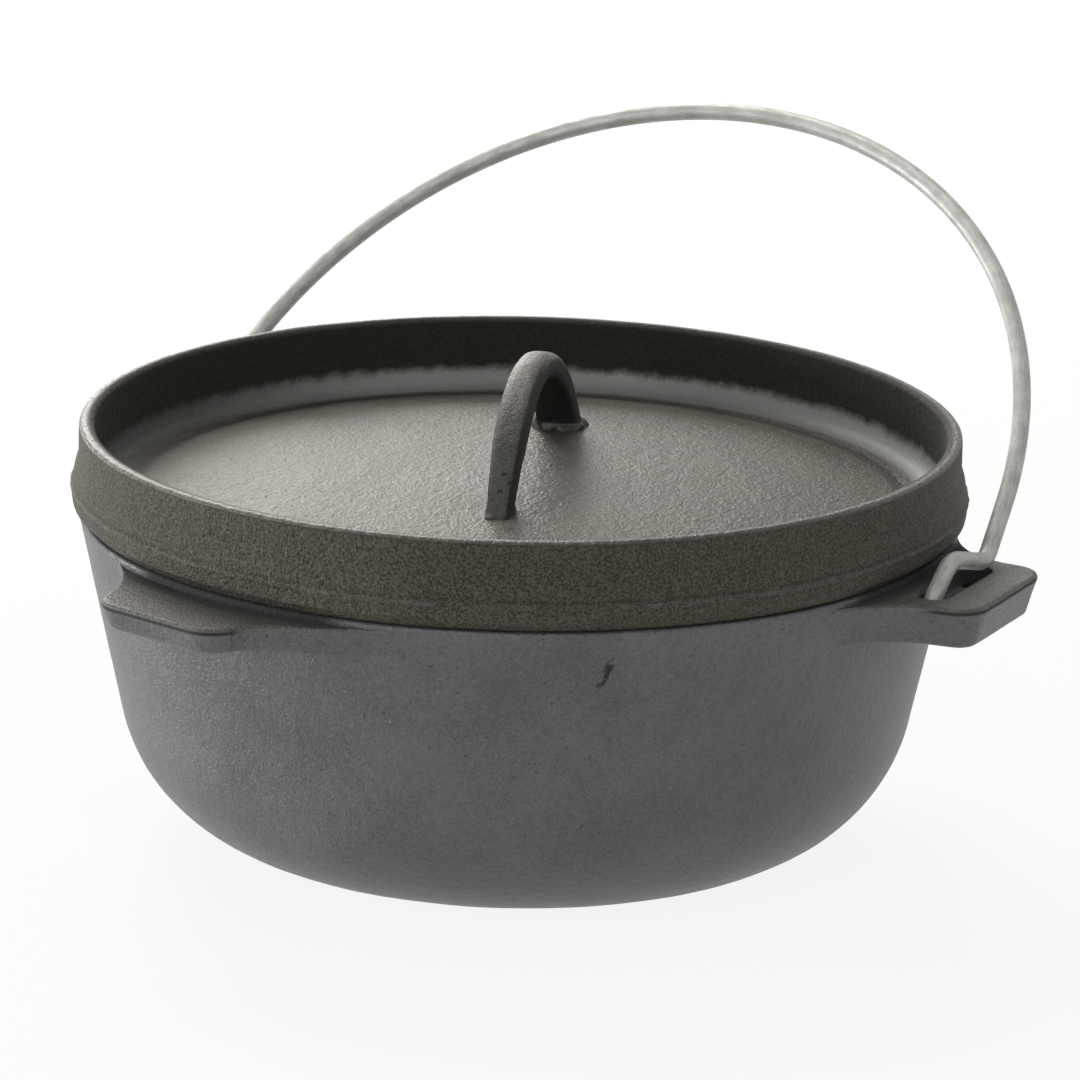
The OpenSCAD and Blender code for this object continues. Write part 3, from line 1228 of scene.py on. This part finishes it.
@dataclass
class Lug(Tab):
    """The solid lug that tips the pot.

    Attributes:
        centre_out: how far outside the rim its faces are closed.
    """

    reach: float = 27.0
    root_w: float = 72.0
    tip_w: float = 53.0
    thick: float = 9.0
    corner_r: float = 13.0
    run_in: float = 2.5
    skew: float = -7.0
    flares: tuple[float, float] = (44.0, 16.0)
    centre_out: float = 6.0

    def build(self) -> bpy.types.Object:
        """Lofts the lug and closes it above and below.

        Returns:
            The closed solid.
        """
        rings = [self.outer(inset, z) for inset, z in self.flank()]
        middle = np.array([self.wall.rim_r + self.centre_out, self.skew / 2, 0.0])

        def inward(ring: Points) -> list[Points]:
            """Rings that shrink towards the lug's middle."""
            lift = middle + [0.0, 0.0, ring[0, 2]]
            return [lift + (ring - lift) * share for share in np.linspace(0.85, 0.1, 6)]

        below, above = inward(rings[0])[::-1], inward(rings[-1])
        skin = Skin()
        grid = skin.rings(turned(np.array([*below, *rings, *above]), self.angle))
        for ring, z in ((grid[0], self.top - self.thick), (grid[-1], self.top)):
            skin.close(ring, turned(np.array([[middle[0], middle[1], z]]), self.angle)[0])
        return skin.piece("lug")


@dataclass
class Ear(Tab):
    """A slotted ear, hollow underneath, in which a hook of the bail turns.

    Attributes:
        slot_out: distance of the slot's middle line from the rim.
        slot_l: the slot's length.
        slot_w: its width.
        slot_edge: radius of its edges.
        lip: how far the faces beside the slot run before they are joined.
        plate_t: thickness of the plate that the slot goes through.
        skirt_t: thickness of the skirt beside the hollow.
        nose_t: thickness of the skirt at the tip.
        hollow_r: radius of the hollow's corners.
        hollow_in: depth of the hollow's root in the wall.
        shelf_in: how far the hollow's ceiling runs in before it is joined.
        shelf_r: radius where the ceiling meets the skirt.
        skirt_edge: radius of the skirt's inner edge.
        skirt_draft: how far the hollow opens towards its foot.
    """

    reach: float = 32.0
    root_w: float = 66.0
    tip_w: float = 61.0
    thick: float = 14.5
    corner_r: float = 11.0
    run_in: float = 2.4
    slot_out: float = 11.0
    slot_l: float = 45.0
    slot_w: float = 11.2
    slot_edge: float = 1.1
    lip: float = 1.6
    plate_t: float = 7.5
    skirt_t: float = 7.0
    nose_t: float = 9.0
    hollow_r: float = 5.5
    hollow_in: float = 1.8
    shelf_in: float = 4.0
    shelf_r: float = 2.0
    skirt_edge: float = 1.0
    skirt_draft: float = 0.4

    # Points of the drawn arc at each end of the slot
    slot_points: ClassVar[int] = 33

    def slot_loop(self, grow: float, z: float) -> Points:
        """Draws the slot's outline.

        Args:
            grow: how far it is grown all round.
            z: the height.

        Returns:
            The loop's points.
        """
        mid = self.wall.rim_r + self.slot_out
        r, reach = self.slot_w / 2 + grow, (self.slot_l - self.slot_w) / 2
        swing = np.linspace(0.0, math.pi, self.slot_points)
        sides = []
        for side in (1, -1):
            end = np.stack([mid + r * np.cos(swing), side * (reach + r * np.sin(swing))], axis=1)
            outer, inner = np.array([[mid + r, 0.0], end[0]]), np.array([end[-1], [mid - r, 0.0]])
            sides.append(self.joined((outer, end, inner), z))
        return self.around(*sides)

    def hollow_loop(self, inset: float, z: float) -> Points:
        """Draws the outline of the hollow underside.

        Args:
            inset: how far it is drawn in all round.
            z: the height.

        Returns:
            The loop's points.
        """
        half = self.tip_w / 2 - self.skirt_t - inset
        outer = self.wall.rim_r + self.reach - self.nose_t - inset
        radius = self.wall.radius(z, self.hollow_in - self.root_slope * inset)
        corner_r = max(self.hollow_r - inset, self.least_r)
        sides = []
        for side in (1, -1):
            line = rounded([
                Corner((outer, 0.0)),
                Corner((outer, side * half), corner_r, self.arc_steps),
                Corner((math.sqrt(radius ** 2 - half ** 2), side * half)),
            ])
            root = self.root(radius, math.asin(side * half / radius), 0.0)
            sides.append(self.joined((*self.parted(line), root), z))
        return self.around(*sides)

    def stations(self) -> list[tuple[Loop, float, float]]:
        """Lists the ear's outlines: from its skirt up, through the slot and down the hollow.

        Returns:
            Kind, growth or inset, and height of each.
        """
        base, shelf = self.top - self.thick, self.top - self.plate_t
        slot = rounded([
            Corner((self.lip, self.top)), Corner((0.0, self.top), self.slot_edge, 5),
            Corner((0.0, shelf), self.slot_edge, 5), Corner((self.lip, shelf))])
        hollow = rounded([
            Corner((self.shelf_in, shelf)), Corner((0.0, shelf), self.shelf_r, 5),
            Corner((-self.skirt_draft, base), self.skirt_edge, 4), Corner((-self.lip, base))])
        lines = ((Loop.OUTER, self.flank()), (Loop.SLOT, slot), (Loop.HOLLOW, hollow))
        return [(kind, amount, z) for kind, line in lines for amount, z in line]

    def build(self, name: str) -> bpy.types.Object:
        """Lofts the ear through its outlines.

        Args:
            name: the object's name.

        Returns:
            The closed solid.
        """
        draw = {Loop.OUTER: self.outer, Loop.SLOT: self.slot_loop, Loop.HOLLOW: self.hollow_loop}
        rings = np.array([draw[kind](amount, z) for kind, amount, z in self.stations()])
        skin = Skin()
        skin.rings(turned(rings, self.angle), closed=True)
        return skin.piece(name)


@dataclass
class Pot:
    """The pot: one casting with two slotted ears and a lug.

    Attributes:
        wall: its wall.
        floor: thickness of its floor.
        corner_r: outer radius between the wall and the base.
        rim_edge: radius of the rim's edges.
        ear_turn: how far both ears are turned towards the back.
        lug_turn: where the lug stands.
        segments: points round it.
        step: longest stretch of its section.
        still: height over which the base stays even.
        waves: unevenness of its skin.
    """

    wall: Wall = field(default_factory=Wall)
    floor: float = 7.0
    corner_r: float = 57.0
    rim_edge: float = 1.2
    ear_turn: float = 7.25
    lug_turn: float = 260.5
    segments: int = 360
    step: float = 4.0
    still: float = 4.0
    waves: tuple[Wave, ...] = (Wave(0.16, 26.0, 1.0), Wave(0.07, 7.0, 2.0))

    def ears(self) -> tuple[Ear, Ear]:
        """The right and the left ear."""
        return Ear(self.wall, self.ear_turn), Ear(self.wall, 180.0 - self.ear_turn)

    def profile(self) -> Points:
        """Draws the section from the middle of the base, over the rim, to the middle of the floor.

        Returns:
            Rows of radius and height.
        """
        wall = self.wall
        rim_in = wall.thick / math.cos(math.radians(wall.draft))
        line = rounded([
            Corner((0.0, 0.0)),
            Corner((wall.radius(0.0), 0.0), self.corner_r, 26),
            Corner((wall.rim_r, wall.rim_z), self.rim_edge, 5),
            Corner((wall.rim_r - rim_in, wall.rim_z), self.rim_edge, 5),
            Corner((wall.radius(self.floor, rim_in), self.floor), self.corner_r - wall.thick, 22),
            Corner((0.0, self.floor)),
        ])
        return densified(line, self.step)

    def build(self) -> bpy.types.Object:
        """Builds the casting as one solid with a slightly uneven skin.

        Returns:
            The pot.
        """
        pot = revolve("pot_casting", self.profile(), self.segments)
        right, left = self.ears()
        lug = Lug(self.wall, self.lug_turn)
        fuse(pot, [right.build("ear_right"), left.build("ear_left"), lug.build()])
        at = points_of(pot)
        clear = np.clip(at[:, 2] / self.still, 0.0, 1.0)
        push(pot, clear * sum(wave.over(at) for wave in self.waves))
        return pot

    def dress(self, piece: bpy.types.Object) -> None:
        """Gives the pot its iron and its place in the frame."""
        settle(piece, Body.POT, "pot", PotIron(ear_turn=self.ear_turn).material())


# The lid


@dataclass
class Lid:
    """The lid: a domed plate with a rim that holds coals, and a flange with its mould line.

    Heights are above the lid's seat.

    Attributes:
        seat_z: height of the seat.
        rim_r: outer radius of the rim.
        height: height of the rim.
        rim_t: thickness of the rim.
        rim_edge: radius of the rim's edges.
        ridge_z: height of the flange's widest line.
        ridge_out: how far it stands out from the rim.
        ridge_step: step between the two mould halves.
        step_up: how far that step lies above the widest line.
        flange_r: radius of the flange's bulge.
        flange_up: how far the flange reaches above its widest line.
        flange_low: height of its lower end.
        foot_out: how far its foot stands out from the rim, and at which height.
        foot_in: how far inside the rim the seat begins.
        bead: height of the mould line.
        bead_up: how far the mould line lies above the widest line.
        bead_w: its half width.
        rag_w: half width of its ragged part.
        plate_t: thickness of the plate.
        ring_z: height of the flat ring round the dome.
        ring_w: width of that ring.
        dome_rise: rise of the dome above the ring.
        shoulder: how far the dome's edge is rounded, inwards.
        fillet_r: radius between the ring and the rim.
        groove_d: depth of the soft groove in the ring.
        lip_r: outer radius of the lip that centres the lid.
        lip_h: depth of the lip.
        lip_t: thickness of the lip.
        segments: points round the lid.
        step: longest stretch of its section.
        sharp: angle above which its edges stay sharp.
        still: heights between which the skin's unevenness grows.
        waves: unevenness of its skin.
        rags: unevenness of its mould line.
    """

    seat_z: float = 112.8
    rim_r: float = 148.0
    height: float = 30.0
    rim_t: float = 5.2
    rim_edge: float = 2.0
    ridge_z: float = 8.5
    ridge_out: float = 2.4
    ridge_step: float = 0.45
    step_up: float = 0.2
    flange_r: float = 25.0
    flange_up: float = 11.2
    flange_low: float = 3.2
    foot_out: tuple[float, float] = (1.4, 2.9)
    foot_in: float = 1.5
    bead: float = 0.4
    bead_up: float = 0.3
    bead_w: float = 0.75
    rag_w: float = 0.8
    plate_t: float = 6.0
    ring_z: float = 6.5
    ring_w: float = 10.0
    dome_rise: float = 10.0
    shoulder: float = 4.0
    fillet_r: float = 8.0
    groove_d: float = 0.8
    lip_r: float = 140.25
    lip_h: float = 6.0
    lip_t: float = 6.0
    segments: int = 480
    step: float = 3.0
    sharp: float = 50.0
    still: tuple[float, float] = (1.0, 4.0)
    waves: tuple[Wave, ...] = (Wave(0.14, 24.0, 5.0), Wave(0.07, 6.0, 6.0))
    rags: tuple[Wave, ...] = (Wave(0.3, 5.0, 7.0), Wave(0.25, 14.0, 8.0))

    def __post_init__(self) -> None:
        """Works out the dome from its rise and edge."""
        self.bore_r = self.rim_r - self.rim_t
        self.edge_r = self.bore_r - self.fillet_r - self.ring_w
        self.dome_r = (self.edge_r ** 2 + self.dome_rise ** 2) / (2 * self.dome_rise)
        self.crown = self.ring_z + self.dome_rise

    def dome_z(self, r: float, depth: float = 0.0) -> float:
        """Height of the dome at a radius, less a depth into the plate."""
        return self.crown - self.dome_r + math.sqrt((self.dome_r - depth) ** 2 - r * r)

    def inside(self) -> Points:
        """Draws the section of the tray, from the middle of the dome over the rim to the flange.

        Returns:
            Rows of radius and height.
        """
        dome = [Corner((r, self.dome_z(r))) for r in np.linspace(0.0, self.edge_r - self.shoulder, 36)]
        groove = self.edge_r + self.ring_w / 2 + 0.8
        return rounded([
            *dome,
            Corner((self.edge_r + 0.6, self.ring_z + 0.1), 6.0, 5),
            Corner((groove, self.ring_z - self.groove_d), 5.0, 8),
            Corner((self.bore_r - 0.2, self.ring_z + 0.4), self.fillet_r - 0.6, 12),
            Corner((self.bore_r, self.height), self.rim_edge, 6),
            Corner((self.rim_r, self.height), self.rim_edge, 6),
            Corner((self.rim_r, self.ridge_z + self.flange_up + 0.8)),
        ])

    def outside(self) -> Points:
        """Draws the section of the flange, from its upper end down, with the mould line's bead.

        Returns:
            Rows of radius and height.
        """
        mid_r = self.rim_r + self.ridge_out - self.flange_r
        line = []
        for z in np.linspace(self.ridge_z + self.flange_up, self.flange_low, 56):
            up = z - self.ridge_z
            r = self.flange_r - (self.ridge_step if up > self.step_up else 0.0)
            bulge = mid_r + math.sqrt(r * r - up ** 2)
            bead = self.bead * math.exp(-((up - self.bead_up) / self.bead_w) ** 2)
            line.append((max(bulge, self.rim_r - 0.05) + bead, z))
        return np.array(line)

    def below(self) -> Points:
        """Draws the section of the seat, the lip and the plate's underside, to the axis.

        Returns:
            Rows of radius and height.
        """
        lip_in = self.lip_r - self.lip_t
        plate = [Corner((r, self.dome_z(r, self.plate_t))) for r in np.linspace(lip_in - 6.0, 0.0, 24)]
        out, up = self.foot_out
        return rounded([
            Corner((self.rim_r + out, up)),
            Corner((self.rim_r - self.foot_in, 0.0), 1.0, 4),
            Corner((self.lip_r, 0.0), 0.5, 2),
            Corner((self.lip_r, -self.lip_h), 1.0, 4),
            Corner((lip_in, -self.lip_h), 1.0, 4),
            Corner((lip_in, self.dome_z(lip_in, self.plate_t)), 2.0, 5),
            *plate,
        ])

    def profile(self) -> Points:
        """Joins the whole section, at its height on the pot.

        Returns:
            Rows of radius and height.
        """
        line = np.concatenate([self.inside(), self.outside(), self.below()])
        line[:, 1] += self.seat_z
        return densified(line, self.step)

    def build(self) -> bpy.types.Object:
        """Builds the lid with an uneven skin and a ragged mould line.

        Returns:
            The lid.
        """
        lid = revolve("lid_casting", self.profile(), self.segments, self.sharp)
        at = points_of(lid)
        r, z = np.hypot(at[:, 0], at[:, 1]), at[:, 2] - self.seat_z
        seam = np.exp(-((z - self.ridge_z - self.bead_up) / self.rag_w) ** 2) * (r > self.rim_r)
        low, high = self.still
        clear = np.clip((z - low) / (high - low), 0.0, 1.0)
        skin, rags = (sum(wave.over(at) for wave in waves) for waves in (self.waves, self.rags))
        push(lid, clear * skin + seam * rags)
        return lid

    def dress(self, piece: bpy.types.Object) -> None:
        """Gives the lid its iron and its place in the frame."""
        settle(piece, Body.LID, "lid", LidIron(seat_z=self.seat_z).material())


@dataclass
class LidLoop:
    """The lid's handle: a bowed strap with both feet cast into the dome.

    Attributes:
        lid: the lid that it stands on.
        turn: direction of its back foot.
        span: distance between its feet.
        rise: height of its top above the dome's crown.
        slope: lean of its feet from level.
        sink: length of each foot below the dome's surface.
        aside: shift from the lid's middle line.
        width: width of the strap at its top.
        thick: thickness of the strap.
        foot_w: width at the front foot.
        gate_w: width at the back foot.
        narrowing: powers by which the front and the back half change their width.
        square: how square the strap's section is at its feet, 0 for square and 1 for round.
        round_top: the same at its top.
        round_end: how soon the section turns square on the way down.
        collar: height and thickness of the ragged collar at the front foot.
        pad_h: height of the pad at the back foot.
        pad_out: thickness of that pad.
        rag: unevenness of both.
        waves: unevenness of the skin.
        around: points round the strap.
        steps: sections along it.
    """

    lid: Lid
    turn: float = 113.0
    span: float = 115.0
    rise: float = 36.5
    slope: float = 53.0
    sink: float = 5.0
    aside: float = 3.3
    width: float = 11.5
    thick: float = 9.5
    foot_w: float = 8.0
    gate_w: float = 15.0
    narrowing: tuple[float, float] = (4.0, 2.5)
    square: float = 0.5
    round_top: float = 0.85
    round_end: float = 1.4
    collar: tuple[float, float] = (1.1, 1.1)
    pad_h: float = 2.6
    pad_out: float = 2.0
    rag: Wave = Wave(1.0, 2.6, 9.0)
    waves: tuple[Wave, ...] = (Wave(0.16, 9.0, 10.0), Wave(0.06, 3.0, 11.0))
    around: int = 60
    steps: int = 150

    def route(self) -> Points:
        """Draws the middle line of the strap.

        Returns:
            Rows of run and height above the seat.
        """
        foot_z = self.lid.dome_z(self.span / 2)
        top = self.lid.crown + self.rise - self.thick / 2
        lean = math.radians(self.slope)
        radius = (math.tan(lean) * self.span / 2 - top + foot_z) / (1 / math.cos(lean) - 1)
        swing = np.linspace(math.pi / 2 + lean, math.pi / 2 - lean, 60)
        arc = np.stack([radius * np.cos(swing), top - radius + radius * np.sin(swing)], axis=1)
        sink = np.array([math.cos(lean), math.sin(lean)]) * self.sink
        foot = np.array([self.span / 2, foot_z])
        start, end = foot * [-1, 1] - sink, foot + sink * [1, -1]
        return resampled(np.concatenate([[start], arc, [end]]), self.steps)

    def strap(self) -> bpy.types.Object:
        """Sweeps the plain strap, and marks each point's side, lift and run on it for the finish.

        Returns:
            The strap.
        """
        line = self.route()
        c, s = circle(self.around)
        rings, marks = [], []
        for (run, z), (du, dz) in zip(line, tangents(line)):
            share = run / (self.span / 2)
            reach = abs(share)
            square = self.square + (self.round_top - self.square) * max(0.0, 1.0 - self.round_end * reach)
            side, lift = (np.sign(w) * np.abs(w) ** square for w in (c, s))
            foot, power = (self.foot_w, self.narrowing[0]) if run < 0 else (self.gate_w, self.narrowing[1])
            wide = self.width + (foot - self.width) * reach ** power
            across, height = side * wide / 2 - self.aside, lift * self.thick / 2
            rings.append(np.stack([run - dz * height, across, z + du * height], axis=1))
            marks.append(np.stack([side, lift, np.full(self.around, share)], axis=1))
        placed = turned(np.array(rings), self.turn)
        placed[:, :, 2] += self.lid.seat_z
        return sweep("lid_loop", placed, Mark.STRAP, np.array(marks))

    def build(self) -> bpy.types.Object:
        """Builds the strap with a ragged collar or pad where each foot leaves the dome.

        Returns:
            The loop.
        """
        loop = self.strap()
        at = points_of(loop)
        dome = np.array([self.lid.dome_z(r) for r in np.hypot(at[:, 0], at[:, 1])])
        above = np.clip(at[:, 2] - self.lid.seat_z - dome, 0.0, None)
        back = turned(at, -self.turn)[:, 0] > 0.0
        collar_h, collar_out = self.collar
        collar = np.exp(-above / collar_h) * collar_out
        pad = np.exp(-(above / self.pad_h) ** 4) * self.pad_out
        ragged = (0.8 + self.rag.over(at)) * np.where(back, pad, collar)
        push(loop, ragged + sum(wave.over(at) for wave in self.waves))
        return loop

    def dress(self, piece: bpy.types.Object) -> None:
        """Gives the loop its iron and its place in the frame.

        Args:
            piece: the built loop.
        """
        dome = (self.lid.seat_z + self.lid.crown, self.lid.dome_r)
        iron = LoopIron(pad_h=self.pad_h, dome=dome)
        settle(piece, Body.LID, "lid_handle", iron.material())


# The bail


@dataclass
class Bail:
    """The bail: one wire with a crank and a hook at each end.

    Attributes:
        ear: the right ear, in whose slot a hook hangs; the other mirrors it.
        wire_d: the wire's diameter.
        swing_off: how far the swing's axis lies in front of the slots' middle.
        swing: how far the bail turns.
        lean: lean of the arch at rest, behind upright.
        rise: height of the arch above the elbows, along its lean.
        inset: how far the arch is drawn in from the hooks.
        crank_l: length of the crank, from the axis to the elbow.
        crank_h: height of the crank's hump above the plate.
        neck_l: how far the hook's neck lies in front of the axis.
        tail_l: length of the hook's tail.
        gap: space between the wire and the plate.
        elbow_drop: share of a bend by which the elbow's corner is lowered.
        bend_r: radius of the crank's bends.
        hook_bend: radius of the hook's bends, in diameters.
        tips: sections that round an end, as shares of the radius and of the end's length.
        tip_l: length of a rounded end, in radii.
        streak: how long the coat's streaks are drawn, as a share of the run.
        around: points round the wire.
        step: distance between its sections.
    """

    ear: Ear
    wire_d: float = 5.9
    swing_off: float = 2.5
    swing: float = 128.0
    lean: float = 47.0
    rise: float = 157.5
    inset: float = 1.6
    crank_l: float = 22.5
    crank_h: float = 8.2
    neck_l: float = 10.5
    tail_l: float = 9.0
    gap: float = 0.6
    elbow_drop: float = 0.14
    bend_r: float = 8.0
    hook_bend: float = 0.78
    tips: tuple[tuple[float, float], ...] = ((0.94, 0.35), (0.78, 0.63), (0.5, 0.87), (0.2, 0.98))
    tip_l: float = 0.4
    streak: float = 0.06
    around: int = 28
    step: float = 1.6

    def __post_init__(self) -> None:
        """Works out where the hooks hang and the axis lies."""
        reach = self.ear.wall.rim_r + self.ear.slot_out
        c, s = heading(self.ear.angle)
        self.hook_x = reach * c
        self.axis = np.array([0.0, reach * s - self.swing_off, self.ear.top - self.ear.plate_t / 2])

    def route(self) -> Points:
        """Draws the middle line of the wire, from one hooked end to the other.

        Returns:
            The line's points, one row each.
        """
        hook_x, plate_top = self.hook_x, self.ear.plate_t / 2
        stop = plate_top + self.wire_d / 2 + self.gap
        tail_y = -stop * math.tan(math.radians(self.swing / 2))
        tilt = math.radians(self.lean)
        elbow = np.array([hook_x, self.crank_l, stop - self.elbow_drop * self.bend_r])
        radius = hook_x - self.inset
        mid = self.rise - radius
        start = math.atan2(-mid, hook_x) + math.acos(radius / math.hypot(hook_x, mid))

        def leaning(angle: float) -> tuple[float, ...]:
            """Point of the arch at an angle."""
            x, h = radius * math.cos(angle), mid + radius * math.sin(angle)
            return tuple(elbow + [x - hook_x, h * math.sin(tilt), h * math.cos(tilt)])

        hook_r = self.hook_bend * self.wire_d
        hook = rounded([
            Corner((hook_x - self.tail_l, tail_y, -stop)),
            Corner((hook_x, tail_y, -stop), hook_r, 10),
            Corner((hook_x, -self.neck_l, plate_top - self.wire_d / 4), hook_r, 10),
            Corner((hook_x, 0.0, plate_top + self.crank_h), self.bend_r, 12),
            Corner(tuple(elbow), self.bend_r, 12),
            Corner(leaning(start)),
        ])
        arch = np.array([leaning(a) for a in np.linspace(start, math.pi - start, 140)[1:-1]])
        return np.concatenate([hook, arch, hook[::-1] * [-1, 1, 1]]) + self.axis

    def stations(self) -> list[tuple[Points, Points, float]]:
        """Lists the wire's sections, with its rounded ends.

        Returns:
            Middle, direction and share of the radius of each.
        """
        line = self.route()
        length = float(np.linalg.norm(np.diff(line, axis=0), axis=1).sum())
        line = resampled(line, int(length / self.step))
        ways = tangents(line)
        out = self.tip_l * self.wire_d / 2
        first = [(line[0] - ways[0] * far * out, ways[0], wide) for wide, far in reversed(self.tips)]
        last = [(line[-1] + ways[-1] * far * out, ways[-1], wide) for wide, far in self.tips]
        return [*first, *((point, way, 1.0) for point, way in zip(line, ways)), *last]

    def build(self) -> bpy.types.Object:
        """Sweeps the wire, and keeps its run and turn for the finish.

        Returns:
            The bail.
        """
        radius = self.wire_d / 2
        c, s = circle(self.around)
        stations = self.stations()
        before, first_way, _ = stations[0]
        up = unit(np.cross(first_way, [0.0, 1.0, 0.0]))
        rings, marks, run = [], [], 0.0
        for point, way, share in stations:
            up = unit(up - way * (up @ way))
            across = np.cross(way, up)
            rings.append(point + radius * share * (c[:, None] * up + s[:, None] * across))
            run += float(np.linalg.norm(point - before))
            before = point
            marks.append(np.stack([np.full(self.around, run * self.streak), c, s], axis=1))
        return sweep("bail_wire_form", np.array(rings), Mark.WIRE, np.array(marks) * radius * MM)

    def dress(self, piece: bpy.types.Object) -> None:
        """Gives the bail its zinc and its place in the frame."""
        settle(piece, Body.BAIL, "bail", Galvanised().material())


# The studio


@dataclass
class Viewpoint:
    """The photograph's camera, about the middle of the lid's rim.

    Attributes:
        distance: from the point that it turns about.
        height: angle above level.
        azimuth: angle from the front.
        pan: turn to the side.
        tilt: turn upwards.
        roll: turn about its own line of sight.
        aim_z: height of the point that it turns about.
        lens: focal length.
        sensor: width of the sensor.
        clip: nearest and farthest distance that it shows, in metres.
    """

    distance: float = 3000.0
    height: float = 14.91
    azimuth: float = 32.75
    pan: float = 0.136
    tilt: float = -0.745
    roll: float = 1.17
    aim_z: float = 142.8
    lens: float = 298.33
    sensor: float = 36.0
    clip: tuple[float, float] = (0.1, 50.0)

    def build(self) -> bpy.types.Object:
        """Makes the camera and gives it to the scene.

        Returns:
            The camera.
        """
        (side, front), (level, above) = heading(self.azimuth), heading(self.height)
        ahead = -np.array([front * level, -side * level, above])
        right = np.array([side, front, 0.0])
        at = -ahead * self.distance + [0.0, 0.0, self.aim_z]
        axes = {"ahead": ahead, "right": right, "up": np.cross(right, ahead)}
        turns = (("ahead", "right", self.pan), ("ahead", "up", self.tilt), ("right", "up", self.roll))
        for first, second, angle in turns:
            c, s = heading(angle)
            p, q = axes[first], axes[second]
            axes[first], axes[second] = p * c + q * s, q * c - p * s
        data = bpy.data.cameras.new("camera")
        data.lens, data.sensor_width, data.sensor_fit = self.lens, self.sensor, "HORIZONTAL"
        data.clip_start, data.clip_end = self.clip
        camera = bpy.data.objects.new("camera", data)
        basis = np.stack([axes["right"], axes["up"], -axes["ahead"], at * MM], axis=1)
        camera.matrix_world = Matrix([*basis.tolist(), [0.0, 0.0, 0.0, 1.0]])
        bpy.context.scene.collection.objects.link(camera)
        bpy.context.scene.camera = camera
        return camera


@dataclass
class Softbox:
    """One square area lamp, in metres and watts.

    Attributes:
        name: its name.
        place: where it hangs.
        aim: the point that it faces.
        side: its side.
        watts: its power.
        tint: colour of its light.
    """

    name: str
    place: Place
    aim: Place
    side: float
    watts: float
    tint: Colour = WHITE

    def build(self) -> bpy.types.Object:
        """Makes the lamp, aimed at its point.

        Returns:
            The lamp.
        """
        data = bpy.data.lights.new(self.name, "AREA")
        data.shape, data.size, data.energy, data.color = "SQUARE", self.side, self.watts, self.tint
        lamp = bpy.data.objects.new(self.name, data)
        lamp.location = self.place
        lamp.rotation_mode = "QUATERNION"
        lamp.rotation_quaternion = (Vector(self.aim) - Vector(self.place)).to_track_quat("-Z", "Y")
        bpy.context.scene.collection.objects.link(lamp)
        return lamp


WARM = (1.0, 0.97, 0.92)
AT_LID = (0.0, 0.0, 0.12)
AT_POT = (0.0, 0.0, 0.1)


@dataclass
class Studio:
    """White floor, white surroundings and soft lamps.

    Attributes:
        fill: strength of the light from all round.
        floor_tone: how pale the floor is.
        floor_half: half the floor's side in metres.
        floor_drop: how far it lies below the base, in metres.
        shadow: share of the floor's own shading that the camera sees.
        lamps: the lamps.
    """

    fill: float = 0.36
    floor_tone: float = 0.9
    floor_half: float = 6.0
    floor_drop: float = 0.0004
    shadow: float = 0.12
    lamps: tuple[Softbox, ...] = (
        Softbox("key", (-1.44, 0.97, 2.05), AT_LID, 1.1, 34.0, WARM),
        Softbox("back", (-1.9, 1.77, 0.95), AT_LID, 1.2, 34.0, WARM),
        Softbox("left", (-2.2, -0.9, 0.14), AT_POT, 0.26, 36.0),
        Softbox("front", (0.1, -2.65, 1.0), AT_POT, 1.0, 17.0),
    )

    @staticmethod
    def seen(graph: Graph) -> Value:
        """Parts the rays that show the surroundings from those that only light.

        Args:
            graph: the tree of the floor or the world.

        Returns:
            1 for the rays that show, 0 for the others.
        """
        path = graph.node("ShaderNodeLightPath", {}, {}, "Is Camera Ray")
        outs = path.socket.node.outputs
        shown = path + Value(graph, outs["Is Glossy Ray"]) + Value(graph, outs["Is Transmission Ray"])
        return shown.step(0.0, 1.0)

    def floor(self) -> bpy.types.Object:
        """Makes the floor, which is white but for the object's shadow.

        Returns:
            The floor.
        """
        graph = Graph(bpy.data.materials.new("white_floor"))
        lit = graph.node("ShaderNodeBsdfDiffuse", {}, {"Color": (self.floor_tone,) * 3})
        white = graph.node("ShaderNodeEmission", {}, {"Color": WHITE, "Strength": 1.0})
        shown = self.seen(graph) * (1.0 - self.shadow)
        both = graph.node("ShaderNodeMixShader", {}, {0: shown, 1: lit, 2: white})
        graph.node("ShaderNodeOutputMaterial", {}, {"Surface": both})
        mesh = bpy.data.meshes.new("floor")
        signs = ((-1, -1), (1, -1), (1, 1), (-1, 1))
        corners = [(a * self.floor_half, b * self.floor_half, -self.floor_drop) for a, b in signs]
        mesh.from_pydata(corners, [], [(0, 1, 2, 3)])
        mesh.materials.append(graph.owner)
        floor = bpy.data.objects.new("floor", mesh)
        bpy.context.scene.collection.objects.link(floor)
        return floor

    def surroundings(self) -> bpy.types.World:
        """Makes the world, which lights by its fill and shows as white.

        Returns:
            The world.
        """
        graph = Graph(bpy.data.worlds.new("surroundings"))
        light, show = (
            graph.node("ShaderNodeBackground", {}, {"Color": WHITE, "Strength": strength})
            for strength in (self.fill, 1.0))
        sky = graph.node("ShaderNodeMixShader", {}, {0: self.seen(graph), 1: light, 2: show})
        graph.node("ShaderNodeOutputWorld", {}, {"Surface": sky})
        return graph.owner

    def build(self) -> None:
        """Sets up the floor, the world and the lamps."""
        floor = self.floor()
        bpy.context.scene.world = self.surroundings()
        for lamp in self.lamps:
            lamp.build()


def main() -> None:
    """Builds the oven, dresses it and sets up the photograph's view."""
    logging.basicConfig(level=logging.INFO, format="%(message)s")
    scene = bpy.context.scene
    scene.view_settings.view_transform = "Standard"
    Viewpoint().build()
    Studio().build()
    pot, lid = Pot(), Lid()
    right_ear, _ = pot.ears()
    for part in (pot, lid, LidLoop(lid), Bail(right_ear)):
        part.dress(part.build())
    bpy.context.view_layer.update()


if __name__ == "__main__":
    main()
